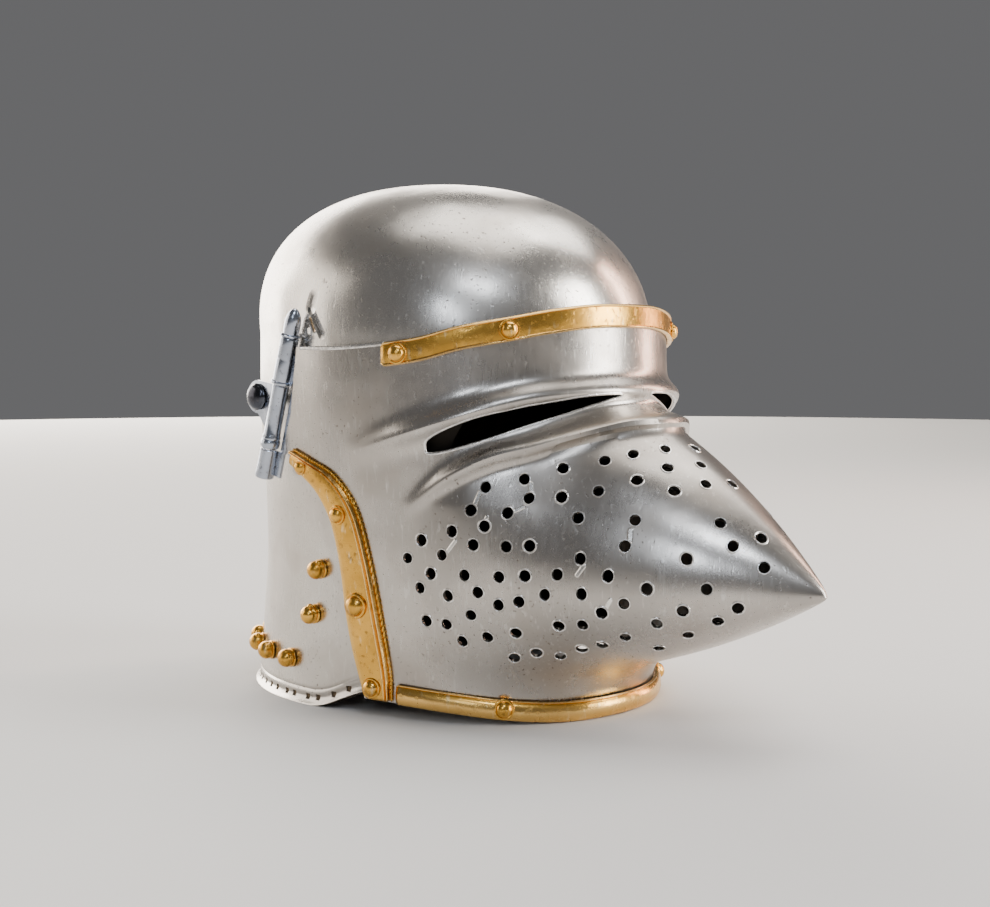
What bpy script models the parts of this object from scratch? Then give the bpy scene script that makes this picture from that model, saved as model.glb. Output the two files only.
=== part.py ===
"""Hounskull bascinet: a pointed steel helmet with a pivoting snouted visor.

Metres, +Z up. The helmet faces -Y and the wearer's right is -X. It stands on
the bowl's bottom rim at Z = 0, with the origin under the middle of its box.
Shapes are worked out with f, the distance forward of the bowl's own origin,
and put() turns them into the world's axes.
"""
import math

import bmesh
import bpy
import numpy as np
from mathutils import Vector

for old in list(bpy.data.objects):
    bpy.data.objects.remove(old, do_unlink=True)

# Driving dimensions
HEIGHT = 0.272
BOWL_HALF_LENGTH = 0.1104
BOWL_HALF_WIDTH = 0.1027
BOWL_WALL = 0.0022
DOME_POWER = 2.3
DOME_LEAN = 0.010
OPENING_HALF_WIDTH = 0.077
OPENING_HEIGHT = 0.182

VISOR_WALL = 0.0020
VISOR_GAP = 0.0039
FACE_REACH = BOWL_HALF_LENGTH + 0.0136
BEAK_REACH = 0.2285
BEAK_HEIGHT = HEIGHT * 0.2629
BEAK_OGIVE = 0.200
BEAK_NOSE = 0.0025
BEAK_BLEND = 0.024
BROW_BLEND = 0.40
BREATH_RADIUS = 0.0029
BREATH_SIDES = 4
BREATH_CUT = 0.006
SLIT_CUT = 0.014

SEAT_GAP = 0.0003
BAND_SEAT = 0.0005
WAIST_SEAT = 0.0009
BAND_THICKNESS = 0.0016
BAND_CROWN = 0.0006
BROW_BAND_WIDTH = 0.0118
BROW_BAND_LIP = 0.0004
RIM_BAND_WIDTH = 0.0100
RIM_BAND_LIP = 0.0002
RIB_HEIGHT = 0.0020
RIVET_RADIUS = 0.0046
RIVET_HEIGHT = 0.0026
RIVET_ACROSS = 0.38
VERVELLE_COLLAR_RADIUS = 0.0056
VERVELLE_BALL_RADIUS = 0.0046
VERVELLE_LENGTH = 0.0086

PIVOT_FORWARD = -0.4257 * BOWL_HALF_LENGTH
PIVOT_HEIGHT = HEIGHT * 0.5827
ARM_THICKNESS = 0.0022
ARM_END_RADIUS = 0.0086
ARM_HALF_HEIGHT = 0.0152
BOLT_RADIUS = 0.0070
BOLT_HEIGHT = 0.0042
BOLT_SHANK_RADIUS = 0.0030
BOLT_SHOULDER_RADIUS = 0.0046
BOLT_TAIL = 0.0025

HINGE_TOP_FORWARD = -0.1087 * BOWL_HALF_LENGTH
HINGE_TOP_HEIGHT = HEIGHT * 0.7482
HINGE_FOOT_FORWARD = -0.3478 * BOWL_HALF_LENGTH
HINGE_FOOT_HEIGHT = HEIGHT * 0.4316
KNUCKLE_RADIUS = 0.0048
PIN_RADIUS = 0.0018
LEAF_THICKNESS = 0.0014
LEAF_REACH = 0.0200
LEAF_CLEARANCE = 0.0009
LEAF_STRIP = 0.0038
LEAF_SHOULDER = 0.39
LEAF_TOP = 0.735
KNUCKLE_CLEARANCE = 0.0008
HINGE_GAP = 0.0003
HINGE_STANDOFF = BOWL_HALF_WIDTH + HINGE_GAP + KNUCKLE_RADIUS

# Bowl sections: height, half length and centre, as shares of the height
# and of the half length
BOWL_ROWS = (
    (0.000, 0.944, -0.187),
    (0.050, 0.930, -0.178),
    (0.118, 0.928, -0.163),
    (0.265, 0.935, -0.113),
    (0.412, 0.966, -0.077),
    (0.559, 0.996, -0.063),
    (0.706, 1.000, -0.054),
)
SPRING_SHARE = BOWL_ROWS[-1][0]
BOWL_COLUMNS = 30
DOME_ROWS = 6

# Front of the visor's face without its beak: height and reach, as shares
FACE_ROWS = (
    (0.000, 0.903),
    (0.044, 0.890),
    (0.081, 0.903),
    (0.136, 0.955),
    (0.228, 1.000),
    (0.375, 0.995),
    (0.504, 0.950),
    (0.632, 0.918),
    (0.761, 0.911),
)
BEAK_SLOPES = (1.00, 0.57, 0.81)

# Outline of the visor: its rear edge (height share, bearing in degrees), and
# its brow and rim edges (bearing, height share)
REAR_ROWS = (
    (0.00, 75.4),
    (0.04, 76.0),
    (0.10, 78.6),
    (0.18, 81.2),
    (0.29, 83.0),
    (0.357, 85.0),
    (0.401, 88.6),
    (0.441, 94.8),
    (0.471, 100.7),
    (0.559, 98.5),
    (0.684, 95.5),
    (0.761, 94.0),
)
BROW_ROWS = (
    (0.0, 0.754),
    (12.0, 0.752),
    (24.0, 0.742),
    (35.0, 0.728),
    (47.0, 0.713),
    (57.0, 0.694),
    (67.0, 0.684),
    (80.0, 0.677),
    (100.0, 0.677),
)
RIM_ROWS = (
    (0.0, 0.0022),
    (22.0, 0.0030),
    (36.0, 0.0110),
    (50.0, 0.0220),
    (66.0, 0.0320),
    (80.0, 0.0360),
)

# Eye slit: bearing, height share and half height share
SLIT_ROWS = (
    (0.0, 0.592, 0.0050),
    (6.0, 0.590, 0.0057),
    (12.0, 0.584, 0.0093),
    (18.0, 0.576, 0.0130),
    (24.0, 0.566, 0.0157),
    (31.0, 0.555, 0.0190),
    (37.0, 0.543, 0.0217),
    (43.0, 0.531, 0.0230),
    (50.0, 0.514, 0.0213),
    (56.0, 0.499, 0.0175),
)
SLIT_INNER = 5.5
SLIT_OUTER = 55.5

# Crests of the folds along the slit: bearing, height share of the hood above
# it and of the ridge below it
CREST_ROWS = (
    (0.0, 0.603, 0.551),
    (10.0, 0.602, 0.547),
    (20.0, 0.597, 0.528),
    (30.0, 0.588, 0.505),
    (40.0, 0.572, 0.485),
    (50.0, 0.550, 0.449),
    (60.0, 0.527, 0.397),
    (75.0, 0.493, 0.335),
)

# How the visor's rows crowd between its rim, beak, ridge, slit, hood and brow
ROW_CROWDING = (1.3, 0.55, 1.0, 1.0, 1.5)
VISOR_ROWS = (5, 3, 2, 2, 2)
VISOR_COLUMNS = 25

# Folds: half width and height as shares of the helmet's height, and the
# bearing where it ends
FOLDS = (
    (0.021, 0.0215, 82.0),
    (0.0165, 0.0190, 64.0),
)
FOLD_DIP = 0.25
FOLD_DIP_BEARING = 14.0

# Breaths on the right, charted by eye row by row from the fold down: degrees
# to the right of the middle and height share. The left side has every fourth.
BREATH_CHART = (
    ((-1.5, 0.498), (5.5, 0.499), (11.5, 0.491), (16.5, 0.480), (24.0, 0.467), (32.0, 0.448), (40.5, 0.433)),
    ((2.0, 0.472), (8.0, 0.469), (13.5, 0.449), (19.5, 0.430), (25.5, 0.419), (31.5, 0.416), (36.0, 0.390),
     (44.0, 0.393)),
    ((-0.5, 0.440), (4.5, 0.442), (9.5, 0.432), (16.0, 0.384), (23.5, 0.385)),
    ((6.5, 0.381), (3.0, 0.357), (6.5, 0.345), (18.0, 0.341), (41.0, 0.366), (48.5, 0.355)),
    ((32.0, 0.335), (36.5, 0.332), (43.5, 0.333), (56.5, 0.336), (51.0, 0.312)),
    ((4.5, 0.311), (11.5, 0.323), (24.0, 0.317), (20.5, 0.290), (27.5, 0.288), (33.0, 0.283), (38.0, 0.279),
     (45.5, 0.279), (54.0, 0.277), (60.5, 0.302)),
    ((10.0, 0.274), (16.0, 0.271), (24.0, 0.257), (29.5, 0.252), (34.0, 0.237), (42.5, 0.250), (49.5, 0.240),
     (57.0, 0.250)),
    ((7.0, 0.243), (12.0, 0.235), (18.5, 0.244), (21.0, 0.225), (38.0, 0.229)),
    ((8.0, 0.218), (14.0, 0.210), (23.0, 0.201), (26.5, 0.196), (44.0, 0.208), (50.0, 0.187), (55.5, 0.190)),
    ((9.5, 0.189), (16.5, 0.181), (34.0, 0.178), (40.0, 0.168), (46.0, 0.157)),
    ((10.5, 0.158), (18.5, 0.162), (21.0, 0.151), (24.0, 0.135), (29.0, 0.140), (33.5, 0.129)),
)
LEFT_STEP = 4
LEFT_FROM = 5.0

# Side band: rear bearing and height share, front bearing and height share
SIDE_BAND_ROWS = (
    (75.2, 0.036, 66.9, 0.034),
    (78.2, 0.100, 67.5, 0.100),
    (80.8, 0.180, 69.6, 0.188),
    (82.6, 0.285, 72.6, 0.296),
    (84.9, 0.360, 76.2, 0.385),
    (89.2, 0.410, 83.0, 0.443),
    (94.6, 0.440, 91.0, 0.469),
    (99.8, 0.462, 98.2, 0.488),
)
SIDE_BAND_STATIONS = 13
SIDE_RIVETS = ((0.05, 1.0), (0.32, 1.25), (0.58, 0.95), (0.89, 0.76))
BROW_RIVETS = (34.5, 62.5)
RIM_RIVET = 35.0
BROW_BAND_END = 67.0
RIM_BAND_END = 65.2
BAND_STATIONS = 23

# Bottom edge of the bowl in front of its flat rear part: forward place as a
# share of the half length and height share
BOWL_EDGE_ROWS = (
    (-0.155, -0.0020),
    (-0.045, 0.0070),
    (0.045, 0.0225),
    (0.140, 0.0380),
    (0.230, 0.0470),
    (0.400, 0.0530),
    (0.750, 0.0550),
)

# Vervelles on each cheek: bowl angle and height share; then the neck row
CHEEK_VERVELLES = ((87.5, 0.262), (89.0, 0.174))
NECK_VERVELLE_HEIGHT = 0.080
NECK_VERVELLE_FIRST = 98.4
NECK_VERVELLES = 13

# Hinge along its pin, from the foot at 0 to the top at 1
FOOT_KNUCKLE = (0.000, 0.172)
ARM_KNUCKLE = (0.182, 0.552)
TOP_KNUCKLE = (0.562, 0.832)
ROUND_SIDES = 10
SMALL_SIDES = 6


def curve(at, rows, column=1):
    """Read a smooth line through one column of a table, at one or many places."""
    table = np.asarray(rows, float)
    knots = table[:, 0]
    values = table[:, column]
    slopes = np.gradient(values, knots)
    at = np.clip(np.asarray(at, float), knots[0], knots[-1])
    i = np.clip(np.searchsorted(knots, at) - 1, 0, len(knots) - 2)
    span = knots[i + 1] - knots[i]
    t = (at - knots[i]) / span
    start = (2 * t**3 - 3 * t**2 + 1) * values[i] + (t**3 - 2 * t**2 + t) * span * slopes[i]
    end = (3 * t**2 - 2 * t**3) * values[i + 1] + (t**3 - t**2) * span * slopes[i + 1]
    return start + end


def bowl_section(height):
    """Half width, half length and centre of the bowl's outer section."""
    share = np.asarray(height, float) / HEIGHT
    rise = np.clip((share - SPRING_SHARE) / (1 - SPRING_SHARE), 0, 1)
    dome = (1 - rise**DOME_POWER) ** (1 / DOME_POWER)
    length = curve(share, BOWL_ROWS, 1) * dome
    centre = curve(share, BOWL_ROWS, 2) * BOWL_HALF_LENGTH - DOME_LEAN * rise
    return BOWL_HALF_WIDTH * length, BOWL_HALF_LENGTH * length, centre


def bowl_point(angle, height, out=0.0):
    """Point on the bowl at an angle from the front, moved out along its normal."""
    width, length, centre = bowl_section(height)
    x = width * np.sin(angle)
    f = centre + length * np.cos(angle)
    across = np.sin(angle) / np.maximum(width, 1e-9)
    along = np.cos(angle) / np.maximum(length, 1e-9)
    norm = np.sqrt(across**2 + along**2)
    return np.stack([x + out * across / norm, f + out * along / norm, height + 0 * x], -1)


def surface_normal(surface, a, height):
    """Outward normal of a surface given by an angle and a height."""
    turn = 0.004
    step = 0.0004
    ahead = surface(a + turn, height) - surface(a - turn, height)
    above = surface(a, height + step) - surface(a, height - step)
    normal = np.cross(above, ahead)
    normal = normal / np.linalg.norm(normal, axis=-1, keepdims=True)
    point = surface(a, height)
    return point, normal * np.sign(np.sum(normal[..., :2] * point[..., :2], -1, keepdims=True))


def face_distance(x, f, z):
    """Signed distance to the visor's face without its beak."""
    width, length, centre = bowl_section(z)
    spare = VISOR_GAP + VISOR_WALL
    half = width + spare
    reach = curve(z / HEIGHT, FACE_ROWS) * FACE_REACH - centre
    reach = np.where(f < centre, length + spare, reach)
    m = np.sqrt((x / half) ** 2 + ((f - centre) / reach) ** 2)
    g = np.sqrt((x / half**2) ** 2 + ((f - centre) / reach**2) ** 2)
    return (m - 1) * m / np.maximum(g, 1e-3)


def beak_distance(x, f, z):
    """Signed distance to the beak, a cone with gently swelling sides."""
    back = BEAK_REACH - f
    rise = z - BEAK_HEIGHT
    slope = np.where(rise > 0, BEAK_SLOPES[0], BEAK_SLOPES[1])
    q = np.sqrt((x / BEAK_SLOPES[2]) ** 2 + (rise / slope) ** 2 + BEAK_NOSE**2) - BEAK_NOSE
    return (q - back * (1 - back / (2 * BEAK_OGIVE))) * 0.6


def fold_height(x, f, z):
    """How far the hammered folds along the eye slit stand out."""
    bearing = np.abs(np.degrees(np.arctan2(x, f)))
    total = 0
    for column, (half, height, last) in enumerate(FOLDS, 1):
        fade = np.clip((1 - bearing / last) / 0.4, 0, 1)
        fade = fade * fade * (3 - 2 * fade)
        fade = fade * (1 - FOLD_DIP * np.exp(-((bearing / FOLD_DIP_BEARING) ** 2)))
        away = (z / HEIGHT - curve(bearing, CREST_ROWS, column)) / half
        total = total + height * HEIGHT * fade * np.exp(-away * away)
    return total


def visor_distance(x, f, z):
    """Signed distance to the visor's outside: face and beak blended, with folds."""
    a = face_distance(x, f, z)
    b = beak_distance(x, f, z)
    near_brow = np.clip((z / HEIGHT - 0.40) / 0.15, 0, 1)
    blend = BEAK_BLEND * np.clip(f / BEAK_REACH / 0.35, 0.02, 1) * (1 - (1 - BROW_BLEND) * near_brow)
    h = np.clip(0.5 + 0.5 * (b - a) / blend, 0, 1)
    return b * (1 - h) + a * h - blend * h * (1 - h) - fold_height(x, f, z)


def visor_point(bearing, height, out=0.0):
    """Point on the visor at a bearing in radians, out from its surface."""
    bearing, height, out = np.broadcast_arrays(bearing, height, out)
    far = np.full(bearing.shape, BEAK_REACH * 1.2)
    for _ in range(110):
        gap = visor_distance(far * np.sin(bearing), far * np.cos(bearing), height) - out
        far = far - 0.75 * np.maximum(gap, 0)
    return np.stack([far * np.sin(bearing), far * np.cos(bearing), height + 0 * far], -1)


def rear_edge(height):
    return np.radians(curve(height / HEIGHT, REAR_ROWS))


def brow_edge(bearing):
    return HEIGHT * curve(np.abs(np.degrees(bearing)), BROW_ROWS)


def rim_edge(bearing):
    return HEIGHT * curve(np.abs(np.degrees(bearing)), RIM_ROWS)


def side_of_bowl(f, z):
    """How far out the bowl's side is at a forward place and height."""
    width, length, centre = bowl_section(z)
    return width * math.sqrt(max(0.0, 1 - ((f - centre) / length) ** 2))


def hinge_point(share):
    """Point on the right hinge's pin line, from its foot to its top."""
    f = HINGE_FOOT_FORWARD + (HINGE_TOP_FORWARD - HINGE_FOOT_FORWARD) * share
    z = HINGE_FOOT_HEIGHT + (HINGE_TOP_HEIGHT - HINGE_FOOT_HEIGHT) * share
    return np.array([-HINGE_STANDOFF, f, z])


CROWNED = ((0.0, 0.0), (0.5, BAND_CROWN), (1.0, 0.0))
RIBBED = ((0.0, 0.0), (0.4, BAND_CROWN), (0.80, 0.0), (0.86, RIB_HEIGHT), (1.0, RIB_HEIGHT))


def rear_reach():
    """How far back the rearmost vervelle stands."""
    height = NECK_VERVELLE_HEIGHT * HEIGHT
    return bowl_point(math.pi, height)[1] - SEAT_GAP - VERVELLE_LENGTH


MIDDLE = (BEAK_REACH + rear_reach()) / 2
ARM_SWING = math.hypot(ARM_HALF_HEIGHT, hinge_point(ARM_KNUCKLE[1])[1] - PIVOT_FORWARD)
ARM_BEND_START = (BOLT_RADIUS + 2 * SEAT_GAP) / (hinge_point(ARM_KNUCKLE[0])[1] - PIVOT_FORWARD)
ARM_PLANE = side_of_bowl(PIVOT_FORWARD + ARM_SWING, PIVOT_HEIGHT) + 2 * SEAT_GAP


def put(point):
    """World place of a point given as x, f and height."""
    return Vector((point[0], MIDDLE - point[1], point[2]))


def put_direction(direction):
    return Vector((direction[0], -direction[1], direction[2]))


def material(name, color, roughness, metallic=1.0):
    made = bpy.data.materials.new(name)
    made.use_nodes = True
    shader = made.node_tree.nodes["Principled BSDF"]
    shader.inputs["Base Color"].default_value = (*color, 1.0)
    shader.inputs["Roughness"].default_value = roughness
    shader.inputs["Metallic"].default_value = metallic
    return made


STEEL = material("satin_steel", (0.60, 0.58, 0.56), 0.30)
BRASS = material("worn_brass", (0.83, 0.60, 0.24), 0.28)
HINGE_STEEL = material("bright_steel", (0.66, 0.68, 0.72), 0.20)
IRON = material("blackened_iron", (0.07, 0.07, 0.08), 0.45)


def add_object(name, mesh, slot=None):
    made = bpy.data.objects.new(name, mesh)
    bpy.context.scene.collection.objects.link(made)
    if slot:
        mesh.materials.append(slot)
    return made


def finish_mesh(name, vertices, faces, slot=None, sharp=40.0):
    """Object from points and faces, with its faces turned out."""
    mesh = bpy.data.meshes.new(name)
    mesh.from_pydata([tuple(v) for v in vertices], [], faces)
    bm = bmesh.new()
    bm.from_mesh(mesh)
    bmesh.ops.remove_doubles(bm, verts=bm.verts, dist=1e-6)
    bmesh.ops.recalc_face_normals(bm, faces=bm.faces)
    bmesh.ops.triangulate(bm, faces=[f for f in bm.faces if len(f.verts) == 4])
    bm.to_mesh(mesh)
    bm.free()
    mesh.shade_smooth()
    mesh.set_sharp_from_angle(angle=math.radians(sharp))
    return add_object(name, mesh, slot)


def cutter(made):
    made.hide_render = True
    made.display_type = "WIRE"
    return made


def combine(target, tool, operation):
    step = target.modifiers.new(operation.lower(), "BOOLEAN")
    step.operation = operation
    step.solver = "EXACT"
    step.object = cutter(tool)


def ring_loft(rings, closed=True):
    """Faces that join rings of the same number of points, with both ends filled."""
    count = len(rings[0])
    vertices = [p for ring in rings for p in ring]
    faces = []
    for i in range(len(rings) - 1):
        for j in range(count):
            k = (j + 1) % count
            faces.append((i * count + j, i * count + k, (i + 1) * count + k, (i + 1) * count + j))
    if closed:
        faces.append(tuple(range(count)))
        faces.append(tuple((len(rings) - 1) * count + j for j in range(count)))
    return vertices, faces


def turned(name, base, axis, profile, slot, sides=ROUND_SIDES):
    """Solid turned round an axis from a profile of (distance along, radius)."""
    axis = Vector(axis).normalized()
    turn = axis.to_track_quat("Z", "Y").to_matrix()
    rings = []
    for along, radius in profile:
        ring = []
        for i in range(sides):
            a = 2 * math.pi * i / sides
            ring.append(Vector(base) + turn @ Vector((radius * math.cos(a), radius * math.sin(a), along)))
        rings.append(ring)
    vertices, faces = ring_loft(rings)
    return finish_mesh(name, vertices, faces, slot, sharp=50.0)


def dome_profile(radius, height, steps=3):
    """Low rounded head, from its rim to its small flat crown."""
    profile = [(0.0, radius * 0.94)]
    for i in range(steps + 1):
        a = math.pi / 2 * i / (steps + 0.6)
        profile.append((height * (0.18 + 0.82 * math.sin(a)), radius * math.cos(a)))
    return profile


def make_bowl():
    """Skull of the helmet, hollow and open below, with the face cut out."""
    columns = BOWL_COLUMNS
    wall_shares = [row[0] for row in BOWL_ROWS]
    dome_rows = DOME_ROWS
    angles = np.linspace(0, 2 * np.pi, columns, endpoint=False)
    spring = SPRING_SHARE * HEIGHT

    def shell(inset):
        rings = []
        for share in wall_shares:
            rings.append(bowl_point(angles, share * HEIGHT, -inset))
        for i in range(1, dome_rows):
            a = math.pi / 2 * i / dome_rows
            rise = (HEIGHT - inset - spring) * math.sin(a) ** (2 / DOME_POWER)
            slant = inset * math.cos(a) ** 2
            ring = bowl_point(angles, (spring + rise) * np.ones(columns), -slant)
            if inset:
                outer = (spring + rise) * HEIGHT / (HEIGHT - inset)
                ring = bowl_point(angles, np.minimum(outer, HEIGHT) * np.ones(columns), -slant)
                ring[:, 2] = spring + rise
            rings.append(ring)
        return rings

    outer = shell(0.0)
    inner = shell(BOWL_WALL)
    centre = bowl_section(HEIGHT)[2]
    vertices = [put(p) for ring in outer + inner for p in ring]
    count = len(outer)
    faces = []
    for side in range(2):
        for i in range(count - 1):
            for j in range(columns):
                k = (j + 1) % columns
                a = (side * count + i) * columns
                faces.append((a + j, a + k, a + columns + k, a + columns + j))
        vertices.append(put((0.0, centre, HEIGHT - side * BOWL_WALL)))
        top = (side * count + count - 1) * columns
        for j in range(columns):
            faces.append((top + j, top + (j + 1) % columns, len(vertices) - 1))
    for j in range(columns):
        k = (j + 1) % columns
        faces.append((j, k, count * columns + k, count * columns + j))
    bowl = finish_mesh("bowl", vertices, faces, STEEL)

    arch = []
    steps = 12
    half = OPENING_HALF_WIDTH
    shoulder = OPENING_HEIGHT * 0.62
    for i in range(steps + 1):
        a = math.pi * i / steps
        x = half * math.copysign(abs(math.cos(a)) ** 0.75, math.cos(a))
        arch.append((x, shoulder + (OPENING_HEIGHT - shoulder) * math.sin(a) ** 0.75))
    arch = [(half, -0.01)] + arch + [(-half, -0.01)]
    rings = [[put((x, f, z)) for x, z in arch] for f in (0.0, BOWL_HALF_LENGTH * 1.4)]
    opening = finish_mesh("face_opening_cutter", *ring_loft(rings))
    combine(bowl, opening, "DIFFERENCE")
    combine(bowl, make_edge_cutter(), "DIFFERENCE")
    return bowl


def make_edge_cutter():
    """Bar under the cheeks that lets the bowl's bottom edge rise to the front."""
    outline = [(f * BOWL_HALF_LENGTH, z * HEIGHT) for f, z in BOWL_EDGE_ROWS]
    depth = BOWL_WALL * 5
    outline += [(outline[-1][0], -depth), (outline[0][0], -depth)]
    rings = [[put((x, f, z)) for f, z in outline] for x in (-1.3 * BOWL_HALF_WIDTH, 1.3 * BOWL_HALF_WIDTH)]
    return finish_mesh("bowl_edge_cutter", *ring_loft(rings))


def sheet_lines(bearing):
    """Heights of the lines that the visor's rows follow, from its rim to its brow."""
    degrees = np.abs(np.degrees(bearing))
    hood = HEIGHT * curve(degrees, CREST_ROWS, 1)
    slit = HEIGHT * curve(degrees, SLIT_ROWS, 1)
    ridge = HEIGHT * curve(degrees, CREST_ROWS, 2)
    return rim_edge(bearing), BEAK_HEIGHT + 0 * bearing, ridge, slit, hood, brow_edge(bearing)


def visor_grid(across, counts):
    """Bearing and height of the visor's grid, with so many rows between its lines."""
    u = np.linspace(-1, 1, across)
    spread = np.sign(u) * (0.35 * np.abs(u) + 0.65 * u * u)
    rows = [(0, 0.0)]
    for line, (count, crowd) in enumerate(zip(counts, ROW_CROWDING)):
        shares = np.linspace(0, 1, count + 1)[1:]
        shares = shares**crowd if crowd >= 1 else 1 - (1 - shares) ** (1 / crowd)
        rows += [(line, share) for share in shares]
    bearing = spread * math.radians(REAR_ROWS[0][1])
    grid = []
    for line, share in rows:
        for _ in range(12):
            lines = sheet_lines(bearing)
            height = lines[line] * (1 - share) + lines[line + 1] * share
            bearing = spread * rear_edge(height)
        grid.append((bearing, height))
    return np.array([b for b, _ in grid]), np.array([h for _, h in grid])


def breath_places():
    """Bearing and height of each breath."""
    places = []
    for row in BREATH_CHART:
        places += [(-math.radians(degrees), share * HEIGHT) for degrees, share in row]
        places += [(math.radians(degrees), share * HEIGHT) for degrees, share in row[::LEFT_STEP]
                   if degrees > LEFT_FROM]
    return places


def make_breath_cutter():
    """Short rods, one for each breath, square to the visor's skin."""
    vertices = []
    faces = []
    bearings, heights = np.array(breath_places()).T
    points, normals = surface_normal(visor_point, bearings, heights)
    for point, normal in zip(points, normals):
        turn = put_direction(normal).to_track_quat("Z", "Y").to_matrix()
        rings = []
        for along in (-BREATH_CUT, BREATH_CUT):
            ring = []
            for i in range(BREATH_SIDES):
                a = 2 * math.pi * i / BREATH_SIDES
                offset = Vector((BREATH_RADIUS * math.cos(a), BREATH_RADIUS * math.sin(a), along))
                ring.append(put(point) + turn @ offset)
            rings.append(ring)
        rod, sides = ring_loft(rings)
        start = len(vertices)
        vertices += rod
        faces += [tuple(start + i for i in face) for face in sides]
    return finish_mesh("breath_cutter", vertices, faces)


def make_slit_cutter(side):
    """Bar that follows one eye slit."""
    rings = []
    for degrees in np.linspace(SLIT_INNER, SLIT_OUTER, 9):
        bearing = side * math.radians(degrees)
        middle = HEIGHT * float(curve(degrees, SLIT_ROWS, 1))
        half = HEIGHT * float(curve(degrees, SLIT_ROWS, 2))
        ring = []
        for out, up in ((-1, -1), (1, -1), (1, 1), (-1, 1)):
            point = visor_point(bearing, middle)
            away = np.array([math.sin(bearing), math.cos(bearing), 0.0])
            ring.append(put(point + away * SLIT_CUT * out + np.array([0, 0, half * up])))
        rings.append(ring)
    return finish_mesh("slit_cutter_right" if side < 0 else "slit_cutter_left", *ring_loft(rings))


def make_visor():
    """Face and beak in one sheet, pierced by the eye slits and the breaths."""
    bearing, height = visor_grid(VISOR_COLUMNS, VISOR_ROWS)
    rows, columns = bearing.shape
    outer = visor_point(bearing, height)
    inner = visor_point(bearing, height, -VISOR_WALL)
    vertices = [put(p) for sheet in (outer, inner) for p in sheet.reshape(-1, 3)]
    offset = rows * columns
    faces = []
    for start in (0, offset):
        for i in range(rows - 1):
            for j in range(columns - 1):
                a = start + i * columns + j
                faces.append((a, a + 1, a + columns + 1, a + columns))
    border = [(0, j) for j in range(columns)]
    border += [(i, columns - 1) for i in range(1, rows)]
    border += [(rows - 1, j) for j in range(columns - 2, -1, -1)]
    border += [(i, 0) for i in range(rows - 2, 0, -1)]
    ring = [i * columns + j for i, j in border]
    for a, b in zip(ring, ring[1:] + ring[:1]):
        faces.append((a, b, b + offset, a + offset))
    visor = finish_mesh("visor", vertices, faces, STEEL)
    combine(visor, make_breath_cutter(), "DIFFERENCE")
    combine(visor, make_slit_cutter(-1), "DIFFERENCE")
    combine(visor, make_slit_cutter(1), "DIFFERENCE")
    return visor


def strip(name, low, high, profile, seat):
    """Band on the visor between two lines of (bearing, height)."""
    rings = []
    for (b0, z0), (b1, z1) in zip(low, high):
        ring = []
        for share, lift in profile:
            out = seat + BAND_THICKNESS + lift
            ring.append(put(visor_point(b0 + (b1 - b0) * share, z0 + (z1 - z0) * share, out)))
        for share in (1.0, 0.5, 0.0):
            ring.append(put(visor_point(b0 + (b1 - b0) * share, z0 + (z1 - z0) * share, seat)))
        rings.append(ring)
    return finish_mesh(name, *ring_loft(rings), BRASS)


def make_brow_band():
    bearings = np.radians(np.linspace(-BROW_BAND_END, BROW_BAND_END, BAND_STATIONS))
    high = [(b, float(brow_edge(b)) + BROW_BAND_LIP) for b in bearings]
    low = [(b, z - BROW_BAND_WIDTH) for b, z in high]
    return strip("brow_band", low, high, CROWNED, BAND_SEAT)


def make_rim_band():
    bearings = np.radians(np.linspace(-RIM_BAND_END, RIM_BAND_END, BAND_STATIONS))
    low = [(b, float(rim_edge(b)) - RIM_BAND_LIP) for b in bearings]
    high = [(b, z + RIM_BAND_WIDTH) for b, z in low]
    return strip("rim_band", low, high, CROWNED, WAIST_SEAT)


def side_band_lines(side, count=SIDE_BAND_STATIONS):
    """Rear and front lines of a side band, from its foot to its top."""
    stations = np.linspace(0, 1, count)
    knots = np.linspace(0, 1, len(SIDE_BAND_ROWS))
    table = np.column_stack([knots, np.array(SIDE_BAND_ROWS)])
    lines = []
    for column in (1, 3):
        bearings = side * np.radians(curve(stations, table, column))
        heights = HEIGHT * curve(stations, table, column + 1)
        lines.append([(float(b), float(z)) for b, z in zip(bearings, heights)])
    return lines


def make_side_band(side, label):
    rear, front = side_band_lines(side)
    return strip("side_band_" + label, rear, front, RIBBED, BAND_SEAT)


def make_rivet(name, bearing, height, seat=BAND_SEAT, size=1.0):
    """Domed rivet head on a band of the visor."""
    point, normal = surface_normal(visor_point, bearing, height)
    base = put(point + normal * (seat + BAND_THICKNESS + BAND_CROWN + SEAT_GAP))
    profile = dome_profile(RIVET_RADIUS * size, RIVET_HEIGHT * size, 2)
    return turned(name, base, put_direction(normal), profile, BRASS, SMALL_SIDES)


def make_rivets():
    for side, label in ((-1, "right"), (1, "left")):
        for i, degrees in enumerate(BROW_RIVETS, 1):
            bearing = side * math.radians(degrees)
            height = float(brow_edge(bearing)) - BROW_BAND_WIDTH / 2
            make_rivet(f"brow_rivet_{label}_{i}", bearing, height)
        rear, front = side_band_lines(side, 101)
        for i, (share, size) in enumerate(SIDE_RIVETS, 1):
            k = int(round(share * 100))
            bearing = rear[k][0] + (front[k][0] - rear[k][0]) * RIVET_ACROSS
            height = rear[k][1] + (front[k][1] - rear[k][1]) * RIVET_ACROSS
            make_rivet(f"side_rivet_{label}_{i}", bearing, height, BAND_SEAT, size)
        bearing = side * math.radians(RIM_RIVET)
        height = float(rim_edge(bearing)) + RIM_BAND_WIDTH / 2
        make_rivet(f"rim_rivet_{label}", bearing, height, WAIST_SEAT)


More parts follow.
